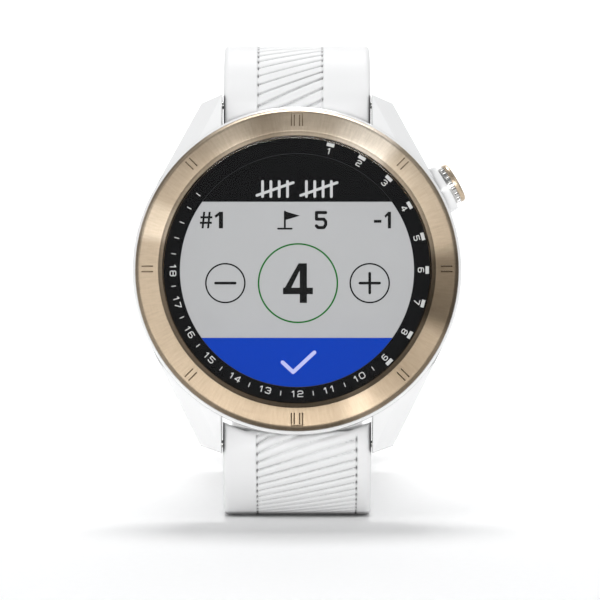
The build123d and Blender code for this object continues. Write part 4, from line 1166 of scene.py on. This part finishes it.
flag.append(prism([(POLE_X, 7.8), (0.4, 7.2), (POLE_X, 6.6)], 1.686, UNDER_Y, on_dial))
flag += strokes([[(-2.5, 5.48), (-0.7, 5.48)]], 0.24, UNDER_Y, MARK_THICK)
printed_piece("flag_mark", flag, "black")
tally = []
for group in TALLY_GROUPS:
    for i in range(4):
        x = group - TALLY_REACH + TALLY_PITCH * i
        tally += strokes([[(x, 9.75), (x, 11.75)]], 0.36, TALLY_Y, MARK_THICK)
    tally += strokes([[(group - 2.4, 9.9), (group + 2.4, 11.6)]], 0.36, TALLY_CROSS_Y, THIN)
printed_piece("tally_mark", tally, "word")
check = strokes([[(-1.9, -12.2), (-0.5, -13.5), (2.3, -10.9)]], 0.5, MARK_Y, MARK_THICK)
printed_piece("check_mark", check, "pale")


# ---------- studio ----------
SWEEP_HALF = 2.6
SWEEP_NEAR = -1.6
BEND_START = 1.0
BEND_R = 0.8
WALL_TOP = 2.6


def sweep_backdrop():
    """A pale floor that curves up into a wall behind the watch, in metres."""
    profile = []
    for i in range(24):
        profile.append((SWEEP_NEAR + (BEND_START - SWEEP_NEAR) * i / 23, 0.0))
    for a in np.radians(np.linspace(0, 90, 24)[1:]):
        profile.append((BEND_START + BEND_R * math.sin(a), BEND_R - BEND_R * math.cos(a)))
    profile.append((BEND_START + BEND_R, WALL_TOP))
    verts, faces = [], []
    for y, z in profile:
        verts += [(-SWEEP_HALF, y, z), (SWEEP_HALF, y, z)]
    for i in range(len(profile) - 1):
        faces.append((2 * i, 2 * i + 1, 2 * i + 3, 2 * i + 2))
    mesh = bpy.data.meshes.new("studio_sweep")
    mesh.from_pydata(verts, [], faces)
    mesh.update()
    obj = linked("studio_sweep", mesh)
    smooth(obj, 60)
    g = Graph("studio_paper")
    tooth = g.noise(g.coords(), 900.0, 4.0)
    tone = g.ramp(tooth, [(0.3, (0.93, 0.93, 0.93)), (0.7, (0.945, 0.945, 0.945))])
    g.shader(tone, 0.9, normal=g.bump(tooth, 0.00002, 0.3), Specular_IOR_Level=0.1)
    mesh.materials.append(g.material)
    return obj


sweep_backdrop()


def softbox(name, place, target, size, power):
    """A white rectangular light that faces a point."""
    lamp = bpy.data.lights.new(name, "AREA")
    lamp.shape = "RECTANGLE"
    lamp.size, lamp.size_y = size
    lamp.energy = power
    obj = linked(name, lamp)
    obj.location = place
    aim = Vector(target) - Vector(place)
    obj.rotation_euler = aim.to_track_quat("-Z", "Y").to_euler()


focus = WATCH @ Vector((0, 0, 0))
softbox("top_box", (0.0, 0.3, 0.98), focus, (0.45, 0.3), 5.2)
softbox("left_box", (-0.95, -0.6, 0.55), focus, (0.7, 0.9), 3.5)
softbox("right_box", (0.95, -0.5, 0.5), focus, (0.6, 0.8), 2.1)
softbox("front_box", (0.0, -1.2, 0.1), focus, (1.2, 0.14), 7.2)
softbox("wall_box", (0.0, 0.9, 1.2), (0, 1.8, 0.5), (2.2, 0.4), 21.0)

world = bpy.data.worlds.new("studio_world")
bpy.context.scene.world = world
world.use_nodes = True
world_tree = world.node_tree
world_tree.nodes.clear()
world_out = world_tree.nodes.new("ShaderNodeOutputWorld")
world_light = world_tree.nodes.new("ShaderNodeBackground")
world_light.inputs["Color"].default_value = (0.97, 0.985, 1.0, 1.0)
world_light.inputs["Strength"].default_value = 0.37
world_tree.links.new(world_light.outputs[0], world_out.inputs["Surface"])

scene = bpy.context.scene
scene.view_settings.view_transform = "Standard"
scene.view_settings.look = "None"
scene.view_settings.exposure = 0.0
scene.view_settings.gamma = 1.0

# ---------- camera ----------
DISTANCE = 0.47
ELEVATION = math.radians(3.3)
SPAN = 0.0789
SENSOR = 36.0
AIM_RIGHT = 0.0004
AIM_DOWN = 0.0041
look = Vector((0, math.cos(ELEVATION), -math.sin(ELEVATION)))
picture_up = Vector((0, math.sin(ELEVATION), math.cos(ELEVATION)))
aim_point = focus + right_axis * AIM_RIGHT - picture_up * AIM_DOWN
camera_data = bpy.data.cameras.new("main_camera")
camera_data.sensor_width = SENSOR
camera_data.lens = SENSOR * DISTANCE / SPAN
camera_data.clip_start = 0.01
camera_data.clip_end = 20.0
camera_data.dof.use_dof = False
camera = linked("main_camera", camera_data)
camera.location = aim_point - look * DISTANCE
camera.rotation_euler = look.to_track_quat("-Z", "Y").to_euler()
scene.camera = camera

bpy.context.view_layer.update()
